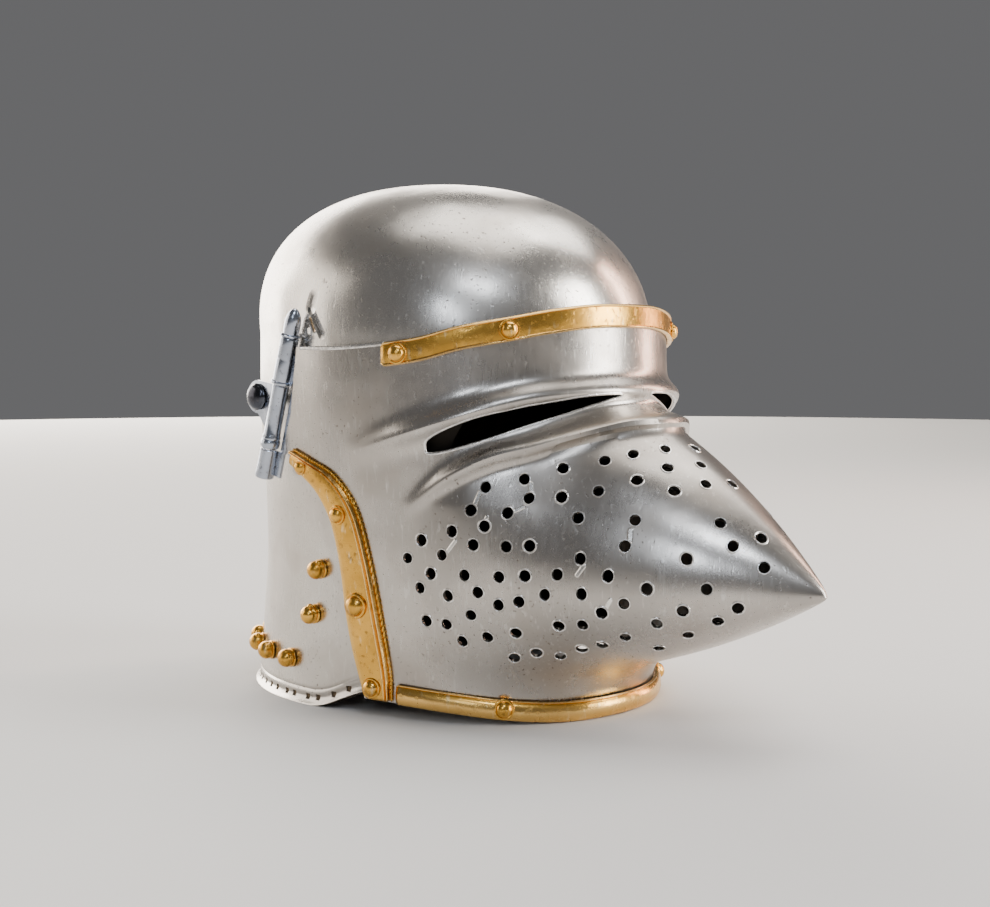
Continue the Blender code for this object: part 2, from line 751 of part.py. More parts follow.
def make_vervelle(name, angle, height):
    """Brass stud on the bowl: a collar, a neck and a ball."""
    point, normal = surface_normal(bowl_point, angle, height)
    collar = VERVELLE_COLLAR_RADIUS
    ball = VERVELLE_BALL_RADIUS
    length = VERVELLE_LENGTH
    profile = [(0.0, collar), (collar * 0.25, collar * 0.9)]
    middle = length - ball
    for degrees in (-20, 30, 72):
        a = math.radians(degrees)
        profile.append((middle + ball * math.sin(a), ball * math.cos(a)))
    base = put(point + normal * SEAT_GAP)
    return turned(name, base, put_direction(normal), profile, BRASS, SMALL_SIDES)


def make_vervelles():
    for side, label in ((-1, "right"), (1, "left")):
        for i, (degrees, share) in enumerate(CHEEK_VERVELLES, 1):
            make_vervelle(f"vervelle_cheek_{label}_{i}", side * math.radians(degrees), share * HEIGHT)
    first = math.radians(NECK_VERVELLE_FIRST)
    for i in range(NECK_VERVELLES):
        angle = first + (2 * math.pi - 2 * first) * i / (NECK_VERVELLES - 1)
        make_vervelle(f"vervelle_neck_{i + 1}", angle, NECK_VERVELLE_HEIGHT * HEIGHT)


def hinge_place(side, share):
    """World place on a side's pin line."""
    x, f, z = hinge_point(share)
    return put((-side * x, f, z))


def make_knuckle(name, side, span, radius):
    """Hinge knuckle round the pin line, bored for the pin."""
    low = hinge_place(side, span[0])
    high = hinge_place(side, span[1])
    axis = high - low
    turn = axis.normalized().to_track_quat("Z", "Y").to_matrix()
    bore = PIN_RADIUS + SEAT_GAP
    rings = []
    for along, r in ((0.0, bore), (0.0, radius), (axis.length, radius), (axis.length, bore)):
        ring = []
        for i in range(ROUND_SIDES):
            a = 2 * math.pi * i / ROUND_SIDES
            ring.append(low + turn @ Vector((r * math.cos(a), r * math.sin(a), along)))
        rings.append(ring)
    vertices, faces = ring_loft(rings, closed=False)
    last = 3 * ROUND_SIDES
    for j in range(ROUND_SIDES):
        k = (j + 1) % ROUND_SIDES
        faces.append((last + j, last + k, k, j))
    return finish_mesh(name, vertices, faces, HINGE_STEEL, sharp=50.0)


def hinge_forward(height):
    share = (height - HINGE_FOOT_HEIGHT) / (HINGE_TOP_HEIGHT - HINGE_FOOT_HEIGHT)
    return HINGE_FOOT_FORWARD + (HINGE_TOP_FORWARD - HINGE_FOOT_FORWARD) * share


def make_pivot_arm(side, label):
    """Flat plate from the pivot bolt forward to the middle knuckle of the hinge."""
    wall_depth = (PIN_RADIUS + SEAT_GAP + KNUCKLE_RADIUS) / 2
    middle = hinge_point((ARM_KNUCKLE[0] + ARM_KNUCKLE[1]) / 2)
    root = 6
    tip = 4
    rings = []
    for i in range(root + tip):
        if i < root:
            turn = math.radians(16 + 74 * i / (root - 1))
            f_low = f_high = PIVOT_FORWARD - ARM_END_RADIUS * math.cos(turn)
            low = PIVOT_HEIGHT - ARM_END_RADIUS * math.sin(turn)
            high = PIVOT_HEIGHT + ARM_END_RADIUS * math.sin(turn)
            bend = 0.0
        else:
            t = ARM_BEND_START + (1 - ARM_BEND_START) * (i - root) / (tip - 1)
            half = ARM_END_RADIUS + (ARM_HALF_HEIGHT - ARM_END_RADIUS) * t
            low = PIVOT_HEIGHT * (1 - t) + middle[2] * t - half
            high = low + 2 * half
            f_low = PIVOT_FORWARD + (hinge_forward(low) - wall_depth * 0.8 - PIVOT_FORWARD) * t
            f_high = PIVOT_FORWARD + (hinge_forward(high) - wall_depth * 0.8 - PIVOT_FORWARD) * t
            rise = max(t - ARM_BEND_START, 0) / (1 - ARM_BEND_START)
            bend = rise**1.5 * (HINGE_STANDOFF - wall_depth * 0.75 - ARM_PLANE - ARM_THICKNESS / 2)
        x = ARM_PLANE + bend
        corners = ((x, f_low, low), (x + ARM_THICKNESS, f_low, low))
        corners += ((x + ARM_THICKNESS, f_high, high), (x, f_high, high))
        rings.append([put((side * p, f, z)) for p, f, z in corners])
    arm = finish_mesh("pivot_arm_" + label, *ring_loft(rings), HINGE_STEEL)
    combine(arm, make_knuckle("arm_knuckle_" + label, side, ARM_KNUCKLE, KNUCKLE_RADIUS * 0.92), "UNION")
    reach = 2 * ARM_THICKNESS
    hole = make_bolt_hole("arm_hole_" + label, side, ARM_PLANE - reach, ARM_PLANE + reach)
    combine(arm, hole, "DIFFERENCE")
    return arm


def make_bolt_hole(name, side, inner, outer):
    """Rod that cuts the bolt's hole between two distances from the middle plane."""
    base = put((side * inner, PIVOT_FORWARD, PIVOT_HEIGHT))
    radius = BOLT_SHANK_RADIUS + SEAT_GAP
    profile = ((0.0, radius), (outer - inner, radius))
    return turned(name, base, (side, 0, 0), profile, None)


def make_pivot_bolt(side, label):
    """Domed bolt through the arm and the bowl, with a shoulder between them."""
    skin = side_of_bowl(PIVOT_FORWARD, PIVOT_HEIGHT)
    shoulder = BOLT_SHOULDER_RADIUS
    shoulder_from = side_of_bowl(PIVOT_FORWARD + shoulder, PIVOT_HEIGHT) + SEAT_GAP
    shoulder_to = ARM_PLANE - SEAT_GAP
    start = skin - BOWL_WALL - BOLT_TAIL
    head = ARM_PLANE + ARM_THICKNESS + SEAT_GAP
    profile = [(0.0, BOLT_SHANK_RADIUS), (shoulder_from - start, BOLT_SHANK_RADIUS)]
    profile += [(shoulder_from - start, shoulder), (shoulder_to - start, shoulder)]
    profile += [(shoulder_to - start, BOLT_SHANK_RADIUS), (head - start, BOLT_SHANK_RADIUS)]
    profile += [(head - start + along, r) for along, r in dome_profile(BOLT_RADIUS, BOLT_HEIGHT, 3)]
    base = put((side * start, PIVOT_FORWARD, PIVOT_HEIGHT))
    return turned("pivot_bolt_" + label, base, (side, 0, 0), profile, IRON)


def make_hinge_leaf(side, label):
    """Leaf on the visor, with the top and foot knuckles of the hinge."""
    wall_depth = (PIN_RADIUS + SEAT_GAP + KNUCKLE_RADIUS) / 2
    clear = KNUCKLE_RADIUS + KNUCKLE_CLEARANCE
    narrow = KNUCKLE_RADIUS + LEAF_STRIP
    foot, top = FOOT_KNUCKLE, TOP_KNUCKLE
    lean = math.atan2(HINGE_TOP_FORWARD - HINGE_FOOT_FORWARD, HINGE_TOP_HEIGHT - HINGE_FOOT_HEIGHT)
    ahead, above = math.cos(lean), -math.sin(lean)
    inner = BOWL_HALF_WIDTH + LEAF_CLEARANCE
    outer = inner + LEAF_THICKNESS
    step = 0.012
    stations = (
        (foot[0] + 2 * step, wall_depth, narrow),
        (foot[1] - step / 2, wall_depth, narrow),
        (foot[1] + step / 4, clear, narrow + KNUCKLE_CLEARANCE),
        (LEAF_SHOULDER, clear, narrow + KNUCKLE_CLEARANCE),
        (LEAF_SHOULDER + step, clear, LEAF_REACH),
        (top[0] - step / 4, clear, LEAF_REACH),
        (top[0] + step / 2, wall_depth, LEAF_REACH),
        (LEAF_TOP, wall_depth, LEAF_REACH),
    )
    rings = []
    for share, rear, front in stations:
        _, f, z = hinge_point(share)
        corners = ((inner, rear), (inner, front), (outer, front), (outer, rear))
        rings.append([put((side * p, f + q * ahead, z + q * above)) for p, q in corners])
    leaf = finish_mesh("hinge_leaf_" + label, *ring_loft(rings), HINGE_STEEL)
    combine(leaf, make_knuckle("foot_knuckle_" + label, side, foot, KNUCKLE_RADIUS), "UNION")
    combine(leaf, make_knuckle("top_knuckle_" + label, side, top, KNUCKLE_RADIUS), "UNION")
    return leaf


def make_hinge_pin(side, label):
    """Removable pin with a long rounded finial on the top knuckle."""
    foot = hinge_place(side, 0.0)
    top = hinge_place(side, 1.0)
    axis = top - foot
    length = axis.length
    seat = TOP_KNUCKLE[1] * length + SEAT_GAP
    knob = length - seat
    profile = [(0.001, PIN_RADIUS), (seat, PIN_RADIUS)]
    for share, radius in ((0.0, 0.90), (0.10, 0.95), (0.12, 0.72), (0.35, 0.84), (0.62, 0.86)):
        profile.append((seat + knob * share, KNUCKLE_RADIUS * radius))
    for share, radius in ((0.85, 0.66), (0.96, 0.36), (1.0, 0.12)):
        profile.append((seat + knob * share, KNUCKLE_RADIUS * radius))
    return turned("hinge_pin_" + label, foot, axis, profile, HINGE_STEEL)


def parent_to(holder, pieces):
    """Parent pieces to an empty and keep them where they are."""
    for piece in pieces:
        piece.parent = holder
        piece.matrix_parent_inverse = holder.matrix_world.inverted()


def build():
    bowl = make_bowl()
    make_vervelles()
    for side, label in ((-1, "right"), (1, "left")):
        make_pivot_bolt(side, label)
    combine(bowl, make_bolt_hole("bowl_hole", 1, -ARM_PLANE, ARM_PLANE), "DIFFERENCE")
    still = set(bpy.data.objects)
    make_visor()
    make_brow_band()
    make_rim_band()
    make_rivets()
    for side, label in ((-1, "right"), (1, "left")):
        make_side_band(side, label)
        make_pivot_arm(side, label)
        make_hinge_leaf(side, label)
        make_hinge_pin(side, label)
    pivot = bpy.data.objects.new("visor_pivot", None)
    bpy.context.scene.collection.objects.link(pivot)
    pivot.location = put((0.0, PIVOT_FORWARD, PIVOT_HEIGHT))
    bpy.context.view_layer.update()
    moving = [o for o in bpy.data.objects if o not in still and o is not pivot]
    parent_to(pivot, moving)


build()
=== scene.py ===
import math

import bpy
import numpy as np
from mathutils import Matrix, Vector


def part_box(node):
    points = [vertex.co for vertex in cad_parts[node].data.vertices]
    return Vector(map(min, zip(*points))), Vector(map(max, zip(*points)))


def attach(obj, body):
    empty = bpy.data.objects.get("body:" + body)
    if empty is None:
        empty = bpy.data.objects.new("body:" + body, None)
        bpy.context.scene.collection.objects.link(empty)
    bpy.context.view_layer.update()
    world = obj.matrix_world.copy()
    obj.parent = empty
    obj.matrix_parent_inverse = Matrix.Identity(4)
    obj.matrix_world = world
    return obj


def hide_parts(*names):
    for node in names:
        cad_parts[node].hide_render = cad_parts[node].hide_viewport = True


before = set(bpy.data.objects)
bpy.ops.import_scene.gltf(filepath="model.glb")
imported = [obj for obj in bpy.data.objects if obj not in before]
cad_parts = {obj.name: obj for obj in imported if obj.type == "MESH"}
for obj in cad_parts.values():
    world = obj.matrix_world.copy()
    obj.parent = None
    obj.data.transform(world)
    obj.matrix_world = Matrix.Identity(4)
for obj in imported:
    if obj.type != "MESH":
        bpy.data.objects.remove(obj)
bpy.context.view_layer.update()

# The bowl is the skull of the helmet, raised from one steel plate and open below.
# Its face is cut away behind the visor. Its bottom edge rises under the cheeks, and is
# turned out over a groove, where brown thread once held the lining.
HEIGHT = 0.272
MIDDLE = 0.0491095
BOWL_HALF_LENGTH = 0.1104
BOWL_HALF_WIDTH = 0.1027
BOWL_WALL = 0.0022
SIDES = ((-1, "right"), (1, "left"))
DOME_POWER = 2.3
DOME_LEAN = 0.010
SPRING = 0.706

# height share, half length share, centre share
BOWL_ROWS = (
    (0.000, 0.944, -0.187),
    (0.050, 0.930, -0.178),
    (0.118, 0.928, -0.163),
    (0.265, 0.935, -0.113),
    (0.412, 0.966, -0.077),
    (0.559, 0.996, -0.063),
    (0.706, 1.000, -0.054),
)
# forward share, height share of the bottom edge
BOWL_EDGE_ROWS = (
    (-0.155, -0.0020),
    (-0.045, 0.0070),
    (0.045, 0.0225),
    (0.140, 0.0380),
    (0.230, 0.0470),
    (0.400, 0.0530),
    (0.750, 0.0550),
)


def curve(at, rows, column=1):
    """Smooth line through one column of a table."""
    table = np.asarray(rows, float)
    knots, values = table[:, 0], table[:, column]
    slopes = np.gradient(values, knots)
    at = np.clip(np.asarray(at, float), knots[0], knots[-1])
    i = np.clip(np.searchsorted(knots, at) - 1, 0, len(knots) - 2)
    span = knots[i + 1] - knots[i]
    t = (at - knots[i]) / span
    start = (2 * t**3 - 3 * t**2 + 1) * values[i] + (t**3 - 2 * t**2 + t) * span * slopes[i]
    end = (3 * t**2 - 2 * t**3) * values[i + 1] + (t**3 - t**2) * span * slopes[i + 1]
    return start + end


def bowl_section(height):
    """Half width, half length and centre of the bowl at a height."""
    share = np.asarray(height, float) / HEIGHT
    rise = np.clip((share - SPRING) / (1 - SPRING), 0, 1)
    dome = (1 - rise**DOME_POWER) ** (1 / DOME_POWER)
    length = curve(share, BOWL_ROWS, 1) * dome
    centre = curve(share, BOWL_ROWS, 2) * BOWL_HALF_LENGTH - DOME_LEAN * rise
    return BOWL_HALF_WIDTH * length, BOWL_HALF_LENGTH * length, centre


def bowl_point(angle, height, out=0.0):
    """Point of the bowl at an angle from the front, as x, forward and height."""
    width, length, centre = bowl_section(height)
    across = np.sin(angle) / np.maximum(width, 1e-9)
    along = np.cos(angle) / np.maximum(length, 1e-9)
    norm = np.sqrt(across**2 + along**2)
    x = width * np.sin(angle) + out * across / norm
    forward = centre + length * np.cos(angle) + out * along / norm
    return np.stack([x, forward, height + 0 * x], -1)


def unit(arrows):
    return arrows / np.linalg.norm(arrows, axis=-1, keepdims=True)


def skin_normal(surface, angle, height):
    """Point of a surface and its outward normal there."""
    ahead = surface(angle + 0.004, height) - surface(angle - 0.004, height)
    above = surface(angle, height + 0.0004) - surface(angle, height - 0.0004)
    normal = unit(np.cross(above, ahead))
    point = surface(angle, height)
    turn = np.sign(np.sum(normal[..., :2] * point[..., :2], -1, keepdims=True))
    return point, normal * turn


def place(points):
    """World places of points given as x, forward and height."""
    points = np.asarray(points, float)
    return np.stack([points[..., 0], MIDDLE - points[..., 1], points[..., 2]], -1)


def select(*pieces):
    """Select these pieces alone, the first one active."""
    bpy.ops.object.select_all(action="DESELECT")
    for piece in pieces:
        piece.select_set(True)
    if pieces:
        bpy.context.view_layer.objects.active = pieces[0]


def throw_away(*pieces):
    for piece in pieces:
        bpy.data.objects.remove(piece, do_unlink=True)


def grid_piece(name, columns, rows, shape):
    """Grid of that many faces, its points moved by shape(u, v), both from 0 to 1."""
    select()
    bpy.ops.mesh.primitive_grid_add(x_subdivisions=columns, y_subdivisions=rows, size=1)
    piece = bpy.context.object
    piece.name = name
    flat = np.empty(len(piece.data.vertices) * 3)
    piece.data.vertices.foreach_get("co", flat)
    flat = flat.reshape(-1, 3)
    places = place(shape(flat[:, 0] + 0.5, flat[:, 1] + 0.5))
    piece.data.vertices.foreach_set("co", places.ravel())
    return piece


def edit(piece, *steps):
    """Run edit-mode steps on all of a piece."""
    select(piece)
    bpy.ops.object.mode_set(mode="EDIT")
    bpy.ops.mesh.select_all(action="SELECT")
    for step in steps:
        step()
    bpy.ops.object.mode_set(mode="OBJECT")


def merge_close():
    bpy.ops.mesh.remove_doubles(threshold=1e-5)


def face_out():
    bpy.ops.mesh.normals_make_consistent(inside=False)


def modify(piece, kind, **settings):
    """Add a modifier to a piece and apply it."""
    select(piece)
    step = piece.modifiers.new(kind.lower(), kind)
    for setting, value in settings.items():
        setattr(step, setting, value)
    bpy.ops.object.modifier_apply(modifier=step.name)


def cut_with(piece, tool):
    """Cut a piece with another, which is then thrown away."""
    modify(piece, "BOOLEAN", operation="DIFFERENCE", solver="EXACT", object=tool)
    throw_away(tool)


def smooth(piece, angle=40):
    select(piece)
    bpy.ops.object.shade_smooth_by_angle(angle=math.radians(angle))


def join(name, pieces):
    """Join pieces to one of that name."""
    select(*pieces)
    if len(pieces) > 1:
        bpy.ops.object.join()
    pieces[0].name = name
    return pieces[0]


class Value:
    """A number or colour inside a finish, on which sums can be written."""

    def __init__(self, finish, link):
        self.finish = finish
        self.link = link

    def sum_of(self, operation, a, b=0.0):
        return self.finish.node("ShaderNodeMath", {"operation": operation}, {0: a, 1: b})

    def __add__(self, other):
        return self.sum_of("ADD", self, other)

    def __radd__(self, other):
        return self.sum_of("ADD", other, self)

    def __sub__(self, other):
        return self.sum_of("SUBTRACT", self, other)

    def __rsub__(self, other):
        return self.sum_of("SUBTRACT", other, self)

    def __mul__(self, other):
        return self.sum_of("MULTIPLY", self, other)

    def __truediv__(self, other):
        return self.sum_of("DIVIDE", self, other)

    def at_most(self, other):
        return self.sum_of("MINIMUM", self, other)

    def at_least(self, other):
        return self.sum_of("MAXIMUM", self, other)


class Finish:
    """A material of the helmet, built from nodes."""

    def __init__(self, name, metallic=1.0):
        self.material = bpy.data.materials.new(name)
        self.material.use_nodes = True
        self.tree = self.material.node_tree
        self.shader = self.tree.nodes["Principled BSDF"]
        self.shader.inputs["Metallic"].default_value = metallic
        self.spot = self.node("ShaderNodeTexCoord", {}, {}, "Object")

    def node(self, kind, settings, inputs, output=0):
        """Add a node with its settings and inputs, and give one of its outputs."""
        made = self.tree.nodes.new(kind)
        for setting, value in settings.items():
            if setting == "stops":
                for i, (at, level) in enumerate(value):
                    ramp = made.color_ramp.elements
                    stop = ramp[i] if i < 2 else ramp.new(at)
                    stop.position = at
                    stop.color = (*level, 1.0) if isinstance(level, tuple) else (level, level, level, 1.0)
            else:
                setattr(made, setting, value)
        for socket, value in inputs.items():
            if isinstance(value, Value):
                self.tree.links.new(value.link, made.inputs[socket])
            elif isinstance(value, tuple) and len(value) == 3 and made.inputs[socket].type == "RGBA":
                made.inputs[socket].default_value = (*value, 1.0)
            else:
                made.inputs[socket].default_value = value
        return Value(self, made.outputs[output])

    def noise(self, scale, detail=2.0, stretch=(1, 1, 1), turn=(0, 0, 0)):
        """Level of a noise, with its scale in waves a metre."""
        spot = self.node("ShaderNodeMapping", {}, {"Vector": self.spot, "Scale": stretch, "Rotation": turn})
        return self.node("ShaderNodeTexNoise", {}, {"Vector": spot, "Scale": scale, "Detail": detail})

    def ramp(self, level, *stops):
        """A level read through the stops of a ramp."""
        return self.node("ShaderNodeValToRGB", {"stops": stops}, {"Fac": level})

    def blend(self, share, first, second):
        """Colour from first to second by a share."""
        return self.node("ShaderNodeMix", {"data_type": "RGBA"}, {0: share, 6: first, 7: second}, 2)

    def feed(self, socket, value):
        """Give the shader's socket a level or a colour."""
        self.tree.links.new(value.link, self.shader.inputs[socket])

    def near_line(self, start, end, width):
        """Level that falls from 1 on a line between two places to 0 at a width from it."""
        line = Vector(end) - Vector(start)
        steps = "ShaderNodeVectorMath"
        away = self.node(steps, {"operation": "SUBTRACT"}, {0: self.spot, 1: tuple(start)})
        along = self.node(steps, {"operation": "DOT_PRODUCT"}, {0: away, 1: tuple(line.normalized())}, 1)
        along = along.at_least(0.0).at_most(line.length)
        nearest = self.node(steps, {"operation": "SCALE"}, {0: tuple(line.normalized()), 3: along})
        distance = self.node(steps, {"operation": "DISTANCE"}, {0: away, 1: nearest}, 1)
        return (1.0 - distance / width).at_least(0.0)

    def relief(self, *layers):
        """Feed the shader's normal from (level, depth in metres) layers."""
        normal = None
        for level, depth in layers:
            inputs = {"Height": level, "Distance": depth, "Strength": 1.0}
            if normal:
                inputs["Normal"] = normal
            normal = self.node("ShaderNodeBump", {}, inputs)
        self.feed("Normal", normal)


# how far forward of the middle, and up to what height, the bowl behind the visor is painted near-black as
# shade and made rougher
PAINTED_SHADE_FORWARD = 0.030
PAINTED_SHADE_TOP = 0.180


def steel_finish(name, light, dark, dents_with_painted_light=(), scratches=(), shade_behind_visor=False):
    """Satin-polished plate: brushed, lightly pitted, clouded, with scratches, with dents whose dark or golden
    colours are painted shade and painted highlight, and optionally with painted shade behind the visor.
    """
    steel = Finish(name)
    patches = steel.ramp(steel.noise(13, 3), (0.36, 0.0), (0.66, 1.0))
    stains = steel.ramp(steel.noise(31, 4), (0.50, 0.0), (0.72, 1.0))
    pits = steel.ramp(steel.noise(560, 2), (0.64, 0.0), (0.73, 1.0))
    pitted = steel.ramp(steel.noise(26, 2), (0.46, 0.0), (0.62, 1.0))
    hairs = steel.ramp(steel.noise(520, 3, (1.0, 1.0, 0.16), (0.55, 0.35, 0.2)), (0.61, 0.0), (0.67, 1.0))
    nicks = steel.ramp(steel.noise(340, 2, (1.0, 1.0, 0.35), (-0.9, 0.5, 0.4)), (0.66, 0.0), (0.72, 1.0))
    brushing = steel.noise(620, 2, (1.0, 1.0, 0.14), (0.12, 0.08, 0.0))
    colour = steel.blend(patches, light, dark)
    colour = steel.blend(stains * 0.45, colour, (0.42, 0.36, 0.30))
    colour = steel.blend(pits * pitted * 0.75, colour, (0.13, 0.10, 0.08))
    colour = steel.blend((hairs * 0.16 + nicks * 0.24).at_most(1.0), colour, (0.88, 0.86, 0.82))
    roughness = 0.20 + patches * 0.08 + stains * 0.07 + brushing * 0.07 + pits * 0.12
    layers = [(steel.noise(20, 1.5), 0.0012), (steel.noise(70, 1.0), 0.00016),
              (brushing, 0.000014), (hairs * -1.0, 0.000010), (nicks, 0.00002),
              (pits * pitted * -1.0, 0.00006)]
    # The dents' tints are painted shade or a painted highlight, and their bump is the dent itself.
    for start, end, width, tint in dents_with_painted_light:
        mark = steel.near_line(start, end, width)
        colour = steel.blend(steel.ramp(mark, (0.10, 0.0), (1.0, 0.9)), colour, tint)
        layers.append((steel.ramp(mark, (0.0, 0.0), (1.0, 1.0)) * -1.0, 0.0007))
    for start, end, width in scratches:
        mark = steel.ramp(steel.near_line(start, end, width), (0.1, 0.0), (0.5, 1.0))
        colour = steel.blend(mark * 0.9, colour, (0.95, 0.92, 0.86))
        roughness = roughness - mark * 0.04
        layers.append((mark, 0.00025))
    if shade_behind_visor:
        # Painted shade: the bowl's outside behind the visor is coloured near-black so it reads dark through
        # the eye slits, and it is also made rougher.
        backward = steel.node("ShaderNodeSeparateXYZ", {}, {0: steel.spot}, 1)
        height = steel.node("ShaderNodeSeparateXYZ", {}, {0: steel.spot}, 2)
        painted_shade_mask = ((MIDDLE - PAINTED_SHADE_FORWARD - backward) / 0.008).at_least(0.0).at_most(1.0)
        painted_shade_mask = painted_shade_mask * ((PAINTED_SHADE_TOP - height) / 0.006).at_least(0.0).at_most(1.0)
        colour = steel.blend(painted_shade_mask, colour, (0.030, 0.026, 0.022))
        roughness = roughness + painted_shade_mask * 0.30
    steel.feed("Base Color", colour)
    steel.feed("Roughness", roughness)
    steel.relief(*layers)
    return steel.material


# how far out, how far up from the edge, how deep
LIP_RINGS = (
    (0.0014, 0.0000, 0.0013),
    (-0.0007, 0.0038, 0.0013),
    (-0.0004, 0.0078, 0.0007),
)


def bowl_edge(angle):
    """Height of the bowl's bottom edge, level behind and rising to the front."""
    forward = bowl_point(angle, 0.0)[..., 1] / BOWL_HALF_LENGTH
    return HEIGHT * np.maximum(curve(forward, BOWL_EDGE_ROWS), 0.0)


# share of the bowl's rows that lie below the spring of its dome
SIDE_SHARE = 0.66


def bowl_skin(u, v):
    """The bowl's outside: u goes round from the front, v up from the edge."""
    angle = 2 * math.pi * u
    edge = bowl_edge(angle)
    climb = np.clip((v - SIDE_SHARE) / (1 - SIDE_SHARE), 0, 1)
    rise = np.sin(math.pi / 2 * climb) ** (2 / DOME_POWER)
    side = edge + (SPRING * HEIGHT - edge) * np.clip(v / SIDE_SHARE, 0, 1) ** 1.6
    height = np.where(v < SIDE_SHARE, side, (SPRING + (1 - SPRING) * rise) * HEIGHT)
    height = np.minimum(height, HEIGHT * 0.99999)
    above = height - edge
    out = sum(reach * np.exp(-(((above - up) / deep) ** 2)) for reach, up, deep in LIP_RINGS)
    return bowl_point(angle, height, out)


def forged_finish(name):
    """Inside of the plates, left black and scaly from the forge."""
    forged = Finish(name)
    scale = forged.ramp(forged.noise(160, 4), (0.40, 0.0), (0.62, 1.0))
    forged.feed("Base Color", forged.blend(scale, (0.055, 0.050, 0.047), (0.13, 0.105, 0.085)))
    forged.feed("Roughness", 0.50 + scale * 0.22)
    forged.relief((forged.noise(70, 3), 0.0006), (scale, 0.0001))
    return forged.material


FORGED = forged_finish("forge_black_inside")
bowl = grid_piece("bowl_plate", 216, 168, bowl_skin)
edit(bowl, merge_close, face_out)
bowl.data.materials.append(None)
bowl.data.materials.append(FORGED)
modify(bowl, "SOLIDIFY", thickness=BOWL_WALL, offset=-1.0, use_even_offset=True, material_offset=1)

OPENING_HALF_WIDTH = 0.077
OPENING_HEIGHT = 0.182
select()
bpy.ops.mesh.primitive_circle_add(vertices=96, radius=1, fill_type="NGON")
arch = bpy.context.object
shoulder = OPENING_HEIGHT * 0.62
for v in arch.data.vertices:
    x = math.copysign(abs(v.co.x) ** 0.75, v.co.x) * OPENING_HALF_WIDTH
    crown = max(v.co.y, 0) ** 0.75 * (OPENING_HEIGHT - shoulder)
    v.co = (x, MIDDLE, shoulder + crown if v.co.y >= 0 else shoulder + v.co.y * (shoulder + 0.01))
for v in arch.data.vertices:
    if v.co.z < shoulder - 0.0001:
        v.co.x = math.copysign(OPENING_HALF_WIDTH, v.co.x)
edit(arch, lambda: bpy.ops.mesh.extrude_region_move(TRANSFORM_OT_translate={"value": (0, -0.16, 0)}))
edit(arch, merge_close, face_out)
cut_with(bowl, arch)
for v in bowl.data.vertices:
    v.co.z = max(v.co.z, 0.0)


def turned_to(point, normal, matrix=Matrix.Identity(4)):
    """Matrix that stands a piece on a skin along its normal."""
    turn = Vector((normal[0], -normal[1], normal[2])).to_track_quat("Z", "Y")
    return Matrix.Translation(Vector(place(point))) @ turn.to_matrix().to_4x4() @ matrix


def copy_to(piece, name, matrix):
    """Copy of a piece, with its own mesh, moved by a matrix."""
    made = piece.copy()
    made.data = piece.data.copy()
    made.name = name
    made.data.transform(matrix)
    bpy.context.scene.collection.objects.link(made)
    return made


STITCHES = 46
STITCH_RISE = 0.0038
STITCH_WIDTH = 0.0030
STITCH_SINK = 0.0018
STITCH_FIRST = 64


def block(*size):
    select()
    bpy.ops.mesh.primitive_cube_add(size=1, scale=size)
    bpy.ops.object.transform_apply(location=False, rotation=False, scale=True)
    return bpy.context.object


hole = block(STITCH_WIDTH, STITCH_WIDTH, 0.008)
stitch = block(STITCH_WIDTH * 0.96, STITCH_WIDTH * 0.90, 0.0018)
modify(stitch, "BEVEL", width=0.0005, segments=2)
holes = []
stitches = []
for i in range(STITCHES):
    evenly = STITCH_FIRST + (360 - 2 * STITCH_FIRST) * i / (STITCHES - 1)
    angle = math.radians(evenly + 0.6 * math.sin(i * 2.7))
    spot, normal = skin_normal(bowl_point, np.array(angle), bowl_edge(angle) + STITCH_RISE)
    sunk = spot - normal * STITCH_SINK
    holes.append(copy_to(hole, "stitch_hole", turned_to(spot, normal)))
    stitches.append(copy_to(stitch, "lining_stitch", turned_to(sunk, normal)))
throw_away(hole, stitch)
cut_with(bowl, join("stitch_holes", holes))
smooth(bowl, 35)


def bowl_mark(angle, height, angle_end, height_end, *rest):
    """A mark between two places of the bowl, given in degrees and metres."""
    ends = [bowl_point(math.radians(a), z) for a, z in ((angle, height), (angle_end, height_end))]
    return (*[tuple(float(c) for c in place(end)) for end in ends], *rest)


# The two hammer dents over the right hinge are shallow grooves. Their dark insides are painted shade, and the
# golden glint between them is a painted highlight.
DENT_PAINTED_SHADE = (0.17, 0.165, 0.16)
BOWL_DENTS_WITH_PAINTED_LIGHT = (
    bowl_mark(-88.7, 0.2095, -89.8, 0.2040, 0.0040, DENT_PAINTED_SHADE),
    bowl_mark(-89.7, 0.2030, -86.0, 0.1905, 0.0027, DENT_PAINTED_SHADE),
    bowl_mark(-91.6, 0.1935, -91.4, 0.1895, 0.0024, DENT_PAINTED_SHADE),
    # painted highlight: the golden glint between the dents
    bowl_mark(-90.0, 0.1985, -88.7, 0.1925, 0.0016, (0.80, 0.52, 0.22)),
)
bowl.data.materials[0] = steel_finish("satin_steel_skull", (0.74, 0.70, 0.64), (0.59, 0.55, 0.50),
                                      BOWL_DENTS_WITH_PAINTED_LIGHT, shade_behind_visor=True)
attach(bowl, "bowl")
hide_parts("bowl")

thread = Finish("brown_lining_thread", 0.0)
thread_wear = thread.ramp(thread.noise(500, 3), (0.35, 0.0), (0.65, 1.0))
thread.feed("Base Color", thread.blend(thread_wear, (0.075, 0.045, 0.022), (0.19, 0.13, 0.07)))
thread.feed("Roughness", 0.75 + thread_wear * 0.15)
thread.relief((thread.noise(900, 2, (1, 1, 0.2)), 0.0001))
stitching = join("lining_stitches", stitches)
smooth(stitching, 40)
stitching.data.materials.append(thread.material)
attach(stitching, "bowl")

